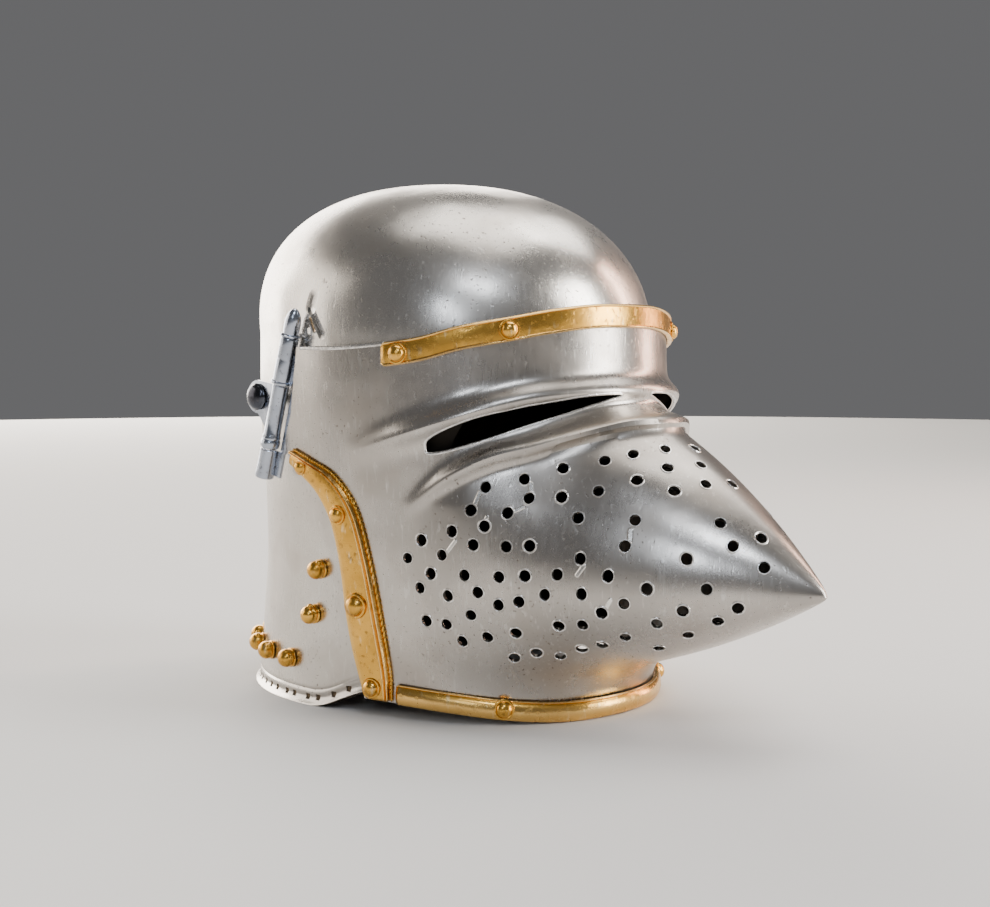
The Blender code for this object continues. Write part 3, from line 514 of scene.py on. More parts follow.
# The visor is one sheet of the same steel, hammered out to a pointed snout. Two long
# eye slits stand under a jutting hood, with a softer ridge below, and rough rows of
# breaths are punched through the snout and cheeks. It swings up on the temple bolts.
VISOR_WALL = 0.0020
VISOR_GAP = 0.0039
FACE_REACH = 0.1240
BEAK_REACH = 0.2285
BEAK_HEIGHT = 0.0715088
BEAK_OGIVE = 0.200
BEAK_NOSE = 0.0025
BEAK_BLEND = 0.024
BROW_BLEND = 0.40
BEAK_SLOPES = (1.00, 0.57, 0.81)

# height share, reach share
FACE_ROWS = (
    (0.000, 0.903),
    (0.044, 0.890),
    (0.081, 0.903),
    (0.136, 0.955),
    (0.228, 1.000),
    (0.375, 0.995),
    (0.504, 0.950),
    (0.632, 0.918),
    (0.761, 0.911),
)
# height share, rear edge's bearing
REAR_ROWS = (
    (0.00, 75.4),
    (0.04, 76.0),
    (0.10, 78.6),
    (0.18, 81.2),
    (0.29, 83.0),
    (0.357, 85.0),
    (0.401, 88.6),
    (0.441, 94.8),
    (0.471, 100.7),
    (0.559, 98.5),
    (0.684, 95.5),
    (0.761, 94.0),
)
# bearing, height share
BROW_ROWS = (
    (0.0, 0.754),
    (12.0, 0.752),
    (24.0, 0.742),
    (35.0, 0.728),
    (47.0, 0.713),
    (57.0, 0.694),
    (67.0, 0.684),
    (80.0, 0.677),
    (100.0, 0.677),
)
RIM_ROWS = (
    (0.0, 0.0022),
    (22.0, 0.0030),
    (36.0, 0.0110),
    (50.0, 0.0220),
    (66.0, 0.0320),
    (80.0, 0.0360),
)
# bearing, height share, half height share
SLIT_ROWS = (
    (0.0, 0.592, 0.0050),
    (6.0, 0.590, 0.0057),
    (12.0, 0.584, 0.0093),
    (18.0, 0.576, 0.0130),
    (24.0, 0.566, 0.0157),
    (31.0, 0.555, 0.0190),
    (37.0, 0.543, 0.0217),
    (43.0, 0.531, 0.0230),
    (50.0, 0.514, 0.0213),
    (56.0, 0.499, 0.0175),
)
SLIT_INNER = 5.5
SLIT_OUTER = 55.5
# bearing, height share of the hood above the slit, of the ridge below it
CREST_ROWS = (
    (0.0, 0.603, 0.551),
    (10.0, 0.602, 0.547),
    (20.0, 0.597, 0.528),
    (30.0, 0.588, 0.505),
    (40.0, 0.572, 0.485),
    (50.0, 0.550, 0.449),
    (60.0, 0.527, 0.397),
    (75.0, 0.493, 0.335),
)
# half width, height, last bearing
FOLDS = (
    (0.021, 0.0215, 82.0),
    (0.0165, 0.0190, 64.0),
)
FOLD_DIP = 0.25
FOLD_DIP_BEARING = 14.0


def face_distance(x, forward, z):
    """How far a place is outside the face, without its snout."""
    width, length, centre = bowl_section(z)
    spare = VISOR_GAP + VISOR_WALL
    half = width + spare
    reach = curve(z / HEIGHT, FACE_ROWS) * FACE_REACH - centre
    reach = np.where(forward < centre, length + spare, reach)
    m = np.sqrt((x / half) ** 2 + ((forward - centre) / reach) ** 2)
    g = np.sqrt((x / half**2) ** 2 + ((forward - centre) / reach**2) ** 2)
    return (m - 1) * m / np.maximum(g, 1e-3)


def beak_distance(x, forward, z):
    """How far a place is outside the snout, a cone with swelling sides."""
    back = BEAK_REACH - forward
    rise = z - BEAK_HEIGHT
    slope = np.where(rise > 0, BEAK_SLOPES[0], BEAK_SLOPES[1])
    q = np.sqrt((x / BEAK_SLOPES[2]) ** 2 + (rise / slope) ** 2 + BEAK_NOSE**2) - BEAK_NOSE
    return (q - back * (1 - back / (2 * BEAK_OGIVE))) * 0.6


def fold_height(x, forward, z):
    """How far the hood and the ridge along the slits stand out."""
    bearing = np.abs(np.degrees(np.arctan2(x, forward)))
    total = 0
    for column, (half, height, last) in enumerate(FOLDS, 1):
        fade = np.clip((1 - bearing / last) / 0.4, 0, 1)
        fade = fade * fade * (3 - 2 * fade)
        fade = fade * (1 - FOLD_DIP * np.exp(-((bearing / FOLD_DIP_BEARING) ** 2)))
        away = (z / HEIGHT - curve(bearing, CREST_ROWS, column)) / half
        total = total + height * HEIGHT * fade * np.exp(-away * away)
    return total


def visor_distance(x, forward, z):
    """How far a place is outside the visor."""
    a = face_distance(x, forward, z)
    b = beak_distance(x, forward, z)
    near_brow = np.clip((z / HEIGHT - 0.40) / 0.15, 0, 1)
    blend = BEAK_BLEND * np.clip(forward / BEAK_REACH / 0.35, 0.02, 1) * (1 - (1 - BROW_BLEND) * near_brow)
    h = np.clip(0.5 + 0.5 * (b - a) / blend, 0, 1)
    return b * (1 - h) + a * h - blend * h * (1 - h) - fold_height(x, forward, z)


def visor_point(bearing, height, out=0.0):
    """Point of the visor at a bearing, out from its outside."""
    bearing, height, out = np.broadcast_arrays(bearing, height, out)
    far = np.full(bearing.shape, BEAK_REACH * 1.2)
    for _ in range(110):
        gap = visor_distance(far * np.sin(bearing), far * np.cos(bearing), height) - out
        far = far - 0.75 * np.maximum(gap, 0)
    return np.stack([far * np.sin(bearing), far * np.cos(bearing), height + 0 * far], -1)


def rear_edge(height):
    return np.radians(curve(height / HEIGHT, REAR_ROWS))


def brow_edge(bearing):
    return HEIGHT * curve(np.abs(np.degrees(bearing)), BROW_ROWS)


def rim_edge(bearing):
    return HEIGHT * curve(np.abs(np.degrees(bearing)), RIM_ROWS)


# Where the grid's rows reach the snout's middle, the ridge, the slit, the hood and the brow
LINE_STOPS = (0.0, 0.30, 0.52, 0.66, 0.80, 1.0)


def sheet_height(bearing, v):
    """Height on the sheet at a bearing, as v goes from the rim to the brow."""
    degrees = np.abs(np.degrees(bearing))
    lines = (rim_edge(bearing), BEAK_HEIGHT + 0 * bearing, HEIGHT * curve(degrees, CREST_ROWS, 2),
             HEIGHT * curve(degrees, SLIT_ROWS, 1), HEIGHT * curve(degrees, CREST_ROWS, 1),
             brow_edge(bearing))
    height = lines[0] + 0 * v
    for low, high, start, end in zip(lines, lines[1:], LINE_STOPS, LINE_STOPS[1:]):
        height = np.where(v >= start, low + (high - low) * (v - start) / (end - start), height)
    return height


def visor_skin(depth):
    """The visor's sheet at a depth under its outside."""
    def shape(u, v):
        side = 2 * u - 1
        spread = np.sign(side) * (0.35 * np.abs(side) + 0.65 * side * side)
        bearing = spread * math.radians(85)
        for _ in range(12):
            height = sheet_height(bearing, v)
            bearing = spread * rear_edge(height)
        return visor_point(bearing, height, -depth)
    return shape


outside = grid_piece("visor_outside", 216, 150, visor_skin(0.0))
inside = grid_piece("visor_inside", 216, 150, visor_skin(VISOR_WALL))
outside.data.materials.append(bpy.data.materials.new("visor_outside_for_now"))
inside.data.materials.append(FORGED)


def open_edges():
    bpy.ops.mesh.select_all(action="DESELECT")
    bpy.ops.mesh.select_mode(type="EDGE")
    bpy.ops.mesh.select_non_manifold()


visor = join("visor_plate", [outside, inside])
edit(visor, open_edges, lambda: bpy.ops.mesh.bridge_edge_loops(),
     lambda: bpy.ops.mesh.select_all(action="SELECT"), face_out)

SLIT_REACH = 0.014


def slit_ring(turn):
    """Bearing in degrees and height on the slit's edge, at a turn round it from 0 to 1."""
    along = np.cos(2 * math.pi * turn)
    across = np.sin(2 * math.pi * turn)
    along = np.sign(along) * np.abs(along) ** 0.30
    across = np.sign(across) * np.abs(across) ** 0.45
    middle = (SLIT_INNER + SLIT_OUTER) / 2
    degrees = middle + (SLIT_OUTER - SLIT_INNER) / 2 * along
    half = curve(degrees, SLIT_ROWS, 2) * across
    return degrees, HEIGHT * (curve(degrees, SLIT_ROWS, 1) + half)


def slit_cutter(side):
    """Bar with rounded ends that follows one eye slit."""
    def shape(u, v):
        degrees, height = slit_ring(u)
        bearing = side * np.radians(degrees)
        middle = HEIGHT * curve(degrees, SLIT_ROWS, 1)
        point = visor_point(bearing, middle)
        point[:, 0] += np.sin(bearing) * SLIT_REACH * (2 * v - 1)
        point[:, 1] += np.cos(bearing) * SLIT_REACH * (2 * v - 1)
        point[:, 2] = height
        return point
    bar = grid_piece("slit_cutter", 120, 2, shape)
    edit(bar, merge_close, lambda: bpy.ops.mesh.fill_holes(sides=0), face_out)
    return bar


cut_with(visor, slit_cutter(-1))
cut_with(visor, slit_cutter(1))

BREATH_RADIUS = 0.0029
# degrees to the right of the middle and height share, row by row from the fold down
BREATH_CHART = (
    ((-1.5, 0.498), (5.5, 0.499), (11.5, 0.491), (16.5, 0.480), (24.0, 0.467), (32.0, 0.448), (40.5, 0.433)),
    ((2.0, 0.472), (8.0, 0.469), (13.5, 0.449), (19.5, 0.430), (25.5, 0.419), (31.5, 0.416), (36.0, 0.390),
     (44.0, 0.393)),
    ((-0.5, 0.440), (4.5, 0.442), (9.5, 0.432), (16.0, 0.384), (23.5, 0.385)),
    ((6.5, 0.381), (3.0, 0.357), (6.5, 0.345), (18.0, 0.341), (41.0, 0.366), (48.5, 0.355)),
    ((32.0, 0.335), (36.5, 0.332), (43.5, 0.333), (56.5, 0.336), (51.0, 0.312)),
    ((4.5, 0.311), (11.5, 0.323), (24.0, 0.317), (20.5, 0.290), (27.5, 0.288), (33.0, 0.283), (38.0, 0.279),
     (45.5, 0.279), (54.0, 0.277), (60.5, 0.302)),
    ((10.0, 0.274), (16.0, 0.271), (24.0, 0.257), (29.5, 0.252), (34.0, 0.237), (42.5, 0.250), (49.5, 0.240),
     (57.0, 0.250)),
    ((7.0, 0.243), (12.0, 0.235), (18.5, 0.244), (21.0, 0.225), (38.0, 0.229)),
    ((8.0, 0.218), (14.0, 0.210), (23.0, 0.201), (26.5, 0.196), (44.0, 0.208), (50.0, 0.187), (55.5, 0.190)),
    ((9.5, 0.189), (16.5, 0.181), (34.0, 0.178), (40.0, 0.168), (46.0, 0.157)),
    ((10.5, 0.158), (18.5, 0.162), (21.0, 0.151), (24.0, 0.135), (29.0, 0.140), (33.5, 0.129)),
)
LEFT_STEP = 4
LEFT_FROM = 5.0
breaths = []
for row in BREATH_CHART:
    breaths += [(-math.radians(degrees), share * HEIGHT) for degrees, share in row]
    breaths += [(math.radians(degrees), share * HEIGHT) for degrees, share in row[::LEFT_STEP]
                if degrees > LEFT_FROM]
breath_points, breath_normals = skin_normal(visor_point, *np.array(breaths).T)

select()
bpy.ops.mesh.primitive_cylinder_add(vertices=20, radius=BREATH_RADIUS, depth=0.012)
punch = bpy.context.object
select()
bpy.ops.mesh.primitive_torus_add(major_segments=22, minor_segments=6, major_radius=BREATH_RADIUS + 0.0002,
                                 minor_radius=0.00045)
burr = bpy.context.object
punches = []
burrs = []
for i, (spot, normal) in enumerate(zip(breath_points, breath_normals)):
    wide = 1 + 0.07 * math.sin(i * 2.1)
    tall = 1 + 0.08 * math.sin(i * 3.7 + 1)
    turn = Matrix.Rotation(i * 1.3, 4, "Z") @ Matrix.Diagonal((wide, tall, 1, 1))
    punches.append(copy_to(punch, "punch", turned_to(spot, normal, turn)))
    burrs.append(copy_to(burr, "burr", turned_to(spot - normal * 0.00012, normal, turn)))
throw_away(punch, burr)
cut_with(visor, join("punches", punches))
smooth(visor, 35)


def visor_mark(degrees, share, degrees_end, share_end, *rest):
    """A mark between two places of the visor's right, in degrees and height shares."""
    ends = [visor_point(-math.radians(a), z * HEIGHT)
            for a, z in ((degrees, share), (degrees_end, share_end))]
    return (*[tuple(float(c) for c in place(end)) for end in ends], *rest)


# Bright scratches that run from breath to breath
VISOR_SCRATCHES = (
    visor_mark(41.8, 0.425, 43.3, 0.399, 0.0014),
    visor_mark(34.5, 0.394, 32.7, 0.401, 0.0011),
    visor_mark(30.8, 0.440, 30.9, 0.418, 0.0015),
    visor_mark(40.4, 0.382, 41.3, 0.368, 0.0011),
    visor_mark(16.9, 0.367, 17.3, 0.350, 0.0017),
    visor_mark(23.6, 0.305, 24.6, 0.289, 0.0013),
    visor_mark(20.2, 0.249, 20.7, 0.227, 0.0014),
    visor_mark(47.7, 0.338, 49.7, 0.318, 0.0012),
)
# Painted shade: the visor's steel is given darker colours than the skull's, though it is the same steel.
visor.data.materials[0] = steel_finish("satin_steel_visor", (0.57, 0.53, 0.485), (0.41, 0.38, 0.345),
                                       (), VISOR_SCRATCHES)
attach(visor, "visor")
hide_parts("visor")


# Worn edges of the visor: the burrs of the breaths, the lips of the eye slits and the
# rolled edge of the brow beside its band. They are the same steel, rubbed bright.
def bead_piece(name, at, radius, sink, along, around=8, closed=False, twist=0.0):
    """Bead along a line of the visor, at(t) its bearing and height for t from 0 to 1.

    A twist makes it a rope of two strands.
    """
    def spot_at(t):
        t = t % 1.0 if closed else np.clip(t, 0, 1)
        return at(t)

    def shape(u, v):
        bearing, height = spot_at(u)
        spot, normal = skin_normal(visor_point, bearing, height)
        before = visor_point(*spot_at(u - 0.003))
        after = visor_point(*spot_at(u + 0.003))
        side = unit(np.cross(unit(after - before), normal))
        turn = 2 * math.pi * v
        full = 1.0 if closed else np.clip(np.minimum(u, 1 - u) / 0.012, 0.05, 1) ** 0.5
        size = radius * full * (1 + (0.22 * np.cos(2 * turn + twist * u) if twist else 0.0))
        return (spot - normal * sink + normal * (size * np.cos(turn))[:, None]
                + side * (size * np.sin(turn))[:, None])
    bead = grid_piece(name, along, around, shape)
    edit(bead, merge_close)
    if not closed:
        edit(bead, lambda: bpy.ops.mesh.fill_holes(sides=0))
    edit(bead, face_out)
    smooth(bead, 60)
    return bead


def slit_lip(side):
    def at(t):
        degrees, height = slit_ring(t)
        return side * np.radians(degrees), height
    return bead_piece("slit_lip", at, 0.0009, 0.0006, 200, 8, closed=True)


BROW_BAND_END = 67.0
BROW_END = 94.5


def brow_roll(side):
    def at(t):
        bearing = side * np.radians(BROW_BAND_END - 1 + (BROW_END - BROW_BAND_END + 1) * t)
        return bearing, brow_edge(bearing) - 0.0004
    return bead_piece("brow_roll", at, 0.0011, 0.0006, 60, 10)


worn = Finish("rubbed_bright_steel")
worn_cloud = worn.ramp(worn.noise(240, 3), (0.35, 0.0), (0.65, 1.0))
worn.feed("Base Color", worn.blend(worn_cloud, (0.88, 0.86, 0.83), (0.60, 0.57, 0.53)))
worn.feed("Roughness", 0.22 + worn_cloud * 0.16)
worn.relief((worn.noise(300, 2), 0.00025))
edges = [join("breath_burrs", burrs)]
edges.append(join("slit_lips", [slit_lip(-1), slit_lip(1)]))
edges.append(join("brow_rolls", [brow_roll(-1), brow_roll(1)]))
smooth(edges[0], 60)
for edge in edges:
    edge.data.materials.append(worn.material)
    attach(edge, "visor")

# The borders are brass strip, riveted over the brow edge, the rear edges and the rim of
# the visor. The brow strip has two fine raised lines. The rear strips have a raised rib
# along the front with a twisted brass rope outside it. The rim strip is rounded over.
BAND_SEAT = 0.0005
WAIST_SEAT = 0.0009
BROW_BAND_WIDTH = 0.0118
BROW_BAND_LIP = 0.0004
RIM_BAND_WIDTH = 0.0100
RIM_BAND_LIP = 0.0002
RIM_BAND_END = 65.2
ROPE_TURNS = 62
# rear bearing and height share, front bearing and height share
SIDE_BAND_ROWS = (
    (75.2, 0.036, 66.9, 0.034),
    (78.2, 0.100, 67.5, 0.100),
    (80.8, 0.180, 69.6, 0.188),
    (82.6, 0.285, 72.6, 0.296),
    (84.9, 0.360, 76.2, 0.385),
    (89.2, 0.410, 83.0, 0.443),
    (94.6, 0.440, 91.0, 0.469),
    (99.8, 0.462, 98.2, 0.488),
)

# across, lift above the skin, wear
BROW_SECTION = (
    (0.000, 0.0000, 0.0),
    (0.000, 0.0010, 0.3),
    (0.020, 0.0019, 0.9),
    (0.055, 0.0024, 1.0),
    (0.095, 0.0022, 0.8),
    (0.125, 0.0017, 0.0),
    (0.250, 0.0018, 0.0),
    (0.500, 0.0020, 0.1),
    (0.750, 0.0018, 0.0),
    (0.875, 0.0017, 0.0),
    (0.905, 0.0022, 0.8),
    (0.945, 0.0024, 1.0),
    (0.980, 0.0019, 0.9),
    (1.000, 0.0010, 0.3),
    (1.000, 0.0000, 0.0),
    (0.500, 0.0000, 0.0),
)
SIDE_SECTION = (
    (0.000, 0.0000, 0.0),
    (0.000, 0.0009, 0.4),
    (0.012, 0.0015, 1.0),
    (0.035, 0.0018, 0.8),
    (0.150, 0.0020, 0.1),
    (0.400, 0.0022, 0.0),
    (0.600, 0.0020, 0.0),
    (0.720, 0.0016, 0.0),
    (0.755, 0.0015, 0.0),
    (0.772, 0.0022, 0.5),
    (0.790, 0.0031, 1.0),
    (0.818, 0.0037, 1.0),
    (0.848, 0.0036, 0.9),
    (0.872, 0.0028, 0.4),
    (0.888, 0.0022, 0.0),
    (0.905, 0.0028, 0.6),
    (0.930, 0.0035, 1.0),
    (0.960, 0.0034, 0.9),
    (0.985, 0.0025, 0.4),
    (1.000, 0.0012, 0.0),
    (1.000, 0.0000, 0.0),
    (0.500, 0.0000, 0.0),
)
RIM_SECTION = (
    (0.000, 0.0000, 0.0),
    (0.000, 0.0008, 0.2),
    (0.040, 0.0015, 0.6),
    (0.120, 0.0021, 0.6),
    (0.250, 0.0026, 0.5),
    (0.420, 0.0028, 0.7),
    (0.600, 0.0027, 0.6),
    (0.760, 0.0022, 0.2),
    (0.860, 0.0015, 0.0),
    (0.915, 0.0009, 0.0),
    (0.940, 0.0012, 0.7),
    (0.970, 0.0012, 1.0),
    (1.000, 0.0006, 0.5),
    (1.000, 0.0000, 0.0),
    (0.500, 0.0000, 0.0),
)


def band_piece(name, low, high, section, seat, along, corner):
    """Strip between two lines of the visor, with its ends' corners rounded."""
    table = np.array(section + section[:1])
    stations = np.arange(len(table)) / (len(table) - 1)

    def shape(u, v):
        across = np.interp(v, stations, table[:, 0])
        lift = np.interp(v, stations, table[:, 1])
        end = np.clip(np.minimum(u, 1 - u) / corner, 0, 1)
        full = np.sqrt(1 - (1 - end) ** 2)
        across = 0.5 + (across - 0.5) * (0.80 + 0.20 * full)
        lift = lift * (0.45 + 0.55 * np.sqrt(full))
        low_bearing, low_height = low(u)
        high_bearing, high_height = high(u)
        bearing = low_bearing + (high_bearing - low_bearing) * across
        height = low_height + (high_height - low_height) * across
        return visor_point(bearing, height, seat + lift)
    band = grid_piece(name, along, len(table) - 1, shape)
    rows = band.data.attributes.new("wear", "FLOAT", "POINT")
    count = along + 1
    for i in range(len(band.data.vertices)):
        rows.data[i].value = float(table[i // count, 2])
    edit(band, merge_close, lambda: bpy.ops.mesh.fill_holes(sides=0), face_out)
    smooth(band, 32)
    return band


def brass_finish(name):
    """Golden brass, rubbed bright where it stands up and brown in the corners."""
    brass = Finish(name)
    clouds = brass.ramp(brass.noise(55, 3), (0.38, 0.0), (0.66, 1.0))
    grime = brass.ramp(brass.noise(330, 4), (0.58, 0.0), (0.72, 1.0))
    scuffs = brass.ramp(brass.noise(420, 3, (1.0, 1.0, 0.3), (0.6, 0.2, 0.3)), (0.61, 0.0), (0.70, 1.0))
    wear = brass.node("ShaderNodeAttribute", {"attribute_name": "wear"}, {}, 2)
    colour = brass.blend(clouds, (0.84, 0.46, 0.085), (0.64, 0.33, 0.05))
    colour = brass.blend(grime * (1.0 - wear) * 0.65, colour, (0.26, 0.13, 0.035))
    colour = brass.blend(scuffs * 0.55, colour, (0.98, 0.76, 0.40))
    colour = brass.blend(wear * 0.65, colour, (0.98, 0.68, 0.27))
    brass.feed("Base Color", colour)
    brass.feed("Roughness", 0.23 + clouds * 0.08 + grime * 0.18 - wear * 0.05)
    brass.relief((brass.noise(80, 2), 0.0004), (brass.noise(420, 2), 0.00004), (grime * -1.0, 0.00005))
    return brass.material


BRASS = brass_finish("worn_brass")


def brow_high(t):
    bearing = np.radians(-BROW_BAND_END + 2 * BROW_BAND_END * t)
    return bearing, brow_edge(bearing) + BROW_BAND_LIP


def brow_low(t):
    bearing, height = brow_high(t)
    return bearing, height - BROW_BAND_WIDTH


def rim_low(t):
    bearing = np.radians(-RIM_BAND_END + 2 * RIM_BAND_END * t)
    return bearing, rim_edge(bearing) - RIM_BAND_LIP


def rim_high(t):
    bearing, height = rim_low(t)
    return bearing, height + RIM_BAND_WIDTH


def side_line(side, across):
    """Line along a rear strip, its share across from the rear edge."""
    knots = np.linspace(0, 1, len(SIDE_BAND_ROWS))
    table = np.column_stack([knots, np.array(SIDE_BAND_ROWS)])

    def at(t):
        rear = [curve(t, table, column) for column in (1, 2)]
        front = [curve(t, table, column) for column in (3, 4)]
        degrees = rear[0] + (front[0] - rear[0]) * across
        share = rear[1] + (front[1] - rear[1]) * across
        return side * np.radians(degrees), share * HEIGHT
    return at


def finish_band(piece, node):
    piece.data.materials.clear()
    piece.data.materials.append(BRASS)
    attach(piece, "visor")
    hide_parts(node)


finish_band(band_piece("brow_strip", brow_low, brow_high, BROW_SECTION, BAND_SEAT, 150, 0.008), "brow_band")
finish_band(band_piece("rim_strip", rim_low, rim_high, RIM_SECTION, WAIST_SEAT, 150, 0.005), "rim_band")
for side, label in SIDES:
    flat = band_piece("side_strip_" + label, side_line(side, 0.0), side_line(side, 1.0), SIDE_SECTION,
                      BAND_SEAT, 110, 0.022)
    rope = bead_piece("side_rope_" + label, side_line(side, 1.03), 0.0008, -0.0009, 420, 10,
                      twist=2 * math.pi * ROPE_TURNS)
    finish_band(join("side_strip_" + label, [flat, rope]), "side_band_" + label)

# Domed brass rivets hold the borders, each hammered down on a thin ring.
BAND_TOP = 0.0022
BROW_RIVETS = (34.5, 62.5)
SIDE_RIVETS = ((0.05, 1.0), (0.32, 1.25), (0.58, 0.95), (0.89, 0.76))
SIDE_RIVET_ACROSS = 0.38
RIM_RIVET = 35.0


def turned_piece(name, sides, profile):
    """Solid turned on a lathe from (height, radius) steps, up from its foot."""
    select()
    height, radius = profile[0]
    bpy.ops.mesh.primitive_circle_add(vertices=sides, radius=radius, fill_type="NGON",
                                      location=(0, 0, height))
    piece = bpy.context.object
    bpy.ops.object.transform_apply(location=True, rotation=False, scale=False)
    piece.name = name
    bpy.ops.object.mode_set(mode="EDIT")
    bpy.ops.mesh.select_all(action="SELECT")
    for next_height, next_radius in profile[1:]:
        rise = (0, 0, next_height - height)
        bpy.ops.mesh.extrude_region_move(TRANSFORM_OT_translate={"value": rise})
        scale = next_radius / radius
        bpy.ops.transform.resize(value=(scale, scale, 1), center_override=(0, 0, next_height))
        height, radius = next_height, next_radius
    bpy.ops.mesh.select_all(action="SELECT")
    face_out()
    bpy.ops.object.mode_set(mode="OBJECT")
    smooth(piece, 38)
    return piece


def dome_steps(base, height, radius, first, last, count):
    """Steps of a dome from one angle of its arc to another, in degrees."""
    steps = []
    for i in range(count):
        a = math.radians(first + (last - first) * i / (count - 1))
        steps.append((base + height * math.sin(a), radius * math.cos(a)))
    return steps


rivet = turned_piece("rivet", 28, [(-0.0004, 0.0049), (0.0002, 0.0052), (0.0006, 0.0050), (0.0008, 0.0044),
                                   (0.0007, 0.0041)] + dome_steps(0.0005, 0.0029, 0.0040, 8, 88, 9))
rivet.data.materials.append(BRASS)


def set_rivet(node, bearing, height, seat, size=1.0):
    """Copy of the rivet on a border of the visor."""
    spot, normal = skin_normal(visor_point, np.array(bearing), np.array(height))
    spot = spot + normal * (seat + BAND_TOP)
    made = copy_to(rivet, "dome_" + node, turned_to(spot, normal, Matrix.Scale(size, 4)))
    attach(made, "visor")
    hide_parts(node)


for side, label in SIDES:
    for i, degrees in enumerate(BROW_RIVETS, 1):
        bearing = side * math.radians(degrees)
        set_rivet(f"brow_rivet_{label}_{i}", bearing, brow_edge(bearing) - BROW_BAND_WIDTH / 2, BAND_SEAT)
    line = side_line(side, SIDE_RIVET_ACROSS)
    for i, (along, size) in enumerate(SIDE_RIVETS, 1):
        set_rivet(f"side_rivet_{label}_{i}", *line(along), BAND_SEAT, size)
    bearing = side * math.radians(RIM_RIVET)
    set_rivet(f"rim_rivet_{label}", bearing, rim_edge(bearing) + RIM_BAND_WIDTH / 2, WAIST_SEAT)
throw_away(rivet)

# Brass studs up each cheek and round the neck held the mail. Each is a ball on a low
# collar, with the end of its pin beside it, riveted through the bowl.
CHEEK_STUDS = ((87.5, 0.262), (89.0, 0.174))
NECK_STUD_HEIGHT = 0.080
NECK_STUD_FIRST = 98.4
NECK_STUDS = 13
STUD_GAP = 0.0003
ball = turned_piece("ball", 28, [(0.0, 0.0046), (0.0003, 0.0050), (0.0008, 0.0050), (0.0011, 0.0046),
                                 (0.0012, 0.0042)] + dome_steps(0.0031, 0.0046, 0.0048, -24, 88, 12))
select()
bpy.ops.mesh.primitive_uv_sphere_add(segments=16, ring_count=10, radius=0.0017,
                                     location=(0.0034, 0.0024, 0.0030))
pin_end = bpy.context.object
bpy.ops.object.transform_apply(location=True, rotation=False, scale=False)
stud = join("stud", [ball, pin_end])
smooth(stud, 38)
stud.data.materials.append(BRASS)


def set_stud(node, angle, height, turn):
    """Copy of the stud on the bowl."""
    spot, normal = skin_normal(bowl_point, np.array(angle), np.array(height))
    stand = turned_to(spot + normal * STUD_GAP, normal, Matrix.Rotation(turn, 4, "Z"))
    made = copy_to(stud, "ball_" + node, stand)
    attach(made, "bowl")
    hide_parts(node)


for side, label in SIDES:
    for i, (degrees, share) in enumerate(CHEEK_STUDS, 1):
        set_stud(f"vervelle_cheek_{label}_{i}", side * math.radians(degrees), share * HEIGHT, 0.4 * i)
for i in range(NECK_STUDS):
    angle = math.radians(NECK_STUD_FIRST + (360 - 2 * NECK_STUD_FIRST) * i / (NECK_STUDS - 1))
    set_stud(f"vervelle_neck_{i + 1}", angle, NECK_STUD_HEIGHT * HEIGHT, 0.5 * math.sin(i * 2.0))
throw_away(stud)


# Blackened iron bolts with polished domes carry the visor's arms at the temples. Their
# shanks go through the bowl, with a shoulder between the arm and the skull.
def polished_finish(name, light, dark, roughness):
    """Smooth metal of the hinges and bolts."""
    metal = Finish(name)
    clouds = metal.ramp(metal.noise(80, 3), (0.38, 0.0), (0.66, 1.0))
    grime = metal.ramp(metal.noise(420, 3), (0.60, 0.0), (0.72, 1.0))
    metal.feed("Base Color", metal.blend(grime * 0.5, metal.blend(clouds, light, dark), (0.12, 0.11, 0.10)))
    metal.feed("Roughness", roughness + clouds * 0.07 + grime * 0.14)
    metal.relief((metal.noise(150, 2), 0.00012), (grime * -1.0, 0.00003))
    return metal.material


BOLT_RADIUS = 0.0070
BOLT_HEIGHT = 0.0042
BOLT_SHANK = 0.0030
BOLT_SHOULDER = 0.0046
ARM_THICKNESS = 0.0022
IRON = polished_finish("blackened_bolt_iron", (0.10, 0.11, 0.13), (0.05, 0.05, 0.06), 0.16)
for side, label in SIDES:
    low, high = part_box("pivot_bolt_" + label)
    tip = high[0] if side > 0 else -low[0]
    tail = low[0] if side > 0 else -high[0]
    centre = ((low[1] + high[1]) / 2, (low[2] + high[2]) / 2)
    head = tip - tail - BOLT_HEIGHT * 0.975
    arm_low = head - ARM_THICKNESS - 0.0006
    shank = [(0.0, BOLT_SHANK * 0.9), (0.0003, BOLT_SHANK), (arm_low - 0.0006, BOLT_SHANK),
             (arm_low - 0.0005, BOLT_SHOULDER * 0.9), (arm_low, BOLT_SHOULDER * 0.9),
             (arm_low + 0.0001, BOLT_SHANK), (head, BOLT_SHANK)]
    rim = [(head + 0.0001, BOLT_RADIUS * 0.97), (head + 0.0007, BOLT_RADIUS),
           (head + 0.0010, BOLT_RADIUS * 0.97)]
    dome = dome_steps(head + 0.0009, BOLT_HEIGHT - 0.0011, BOLT_RADIUS * 0.93, 6, 88, 9)
    bolt = turned_piece("dome_bolt_" + label, 40, shank + rim + dome)
    turn = Vector((side, 0, 0)).to_track_quat("Z", "Y").to_matrix().to_4x4()
    bolt.data.transform(Matrix.Translation((side * tail, *centre)) @ turn)
    bolt.data.materials.append(IRON)
    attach(bolt, "bowl")
    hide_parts("pivot_bolt_" + label)

# Each hinge is bright steel: an arm from the bolt with the long middle knuckle, a leaf on
# the visor with the top and foot knuckles, and a drawn pin with a bullet-shaped head.
HINGE_STANDOFF = BOWL_HALF_WIDTH + 0.0051
HINGE_FOOT = (-0.3478 * BOWL_HALF_LENGTH, 0.4316 * HEIGHT)
HINGE_TOP = (-0.1087 * BOWL_HALF_LENGTH, 0.7482 * HEIGHT)
KNUCKLE = 0.0048
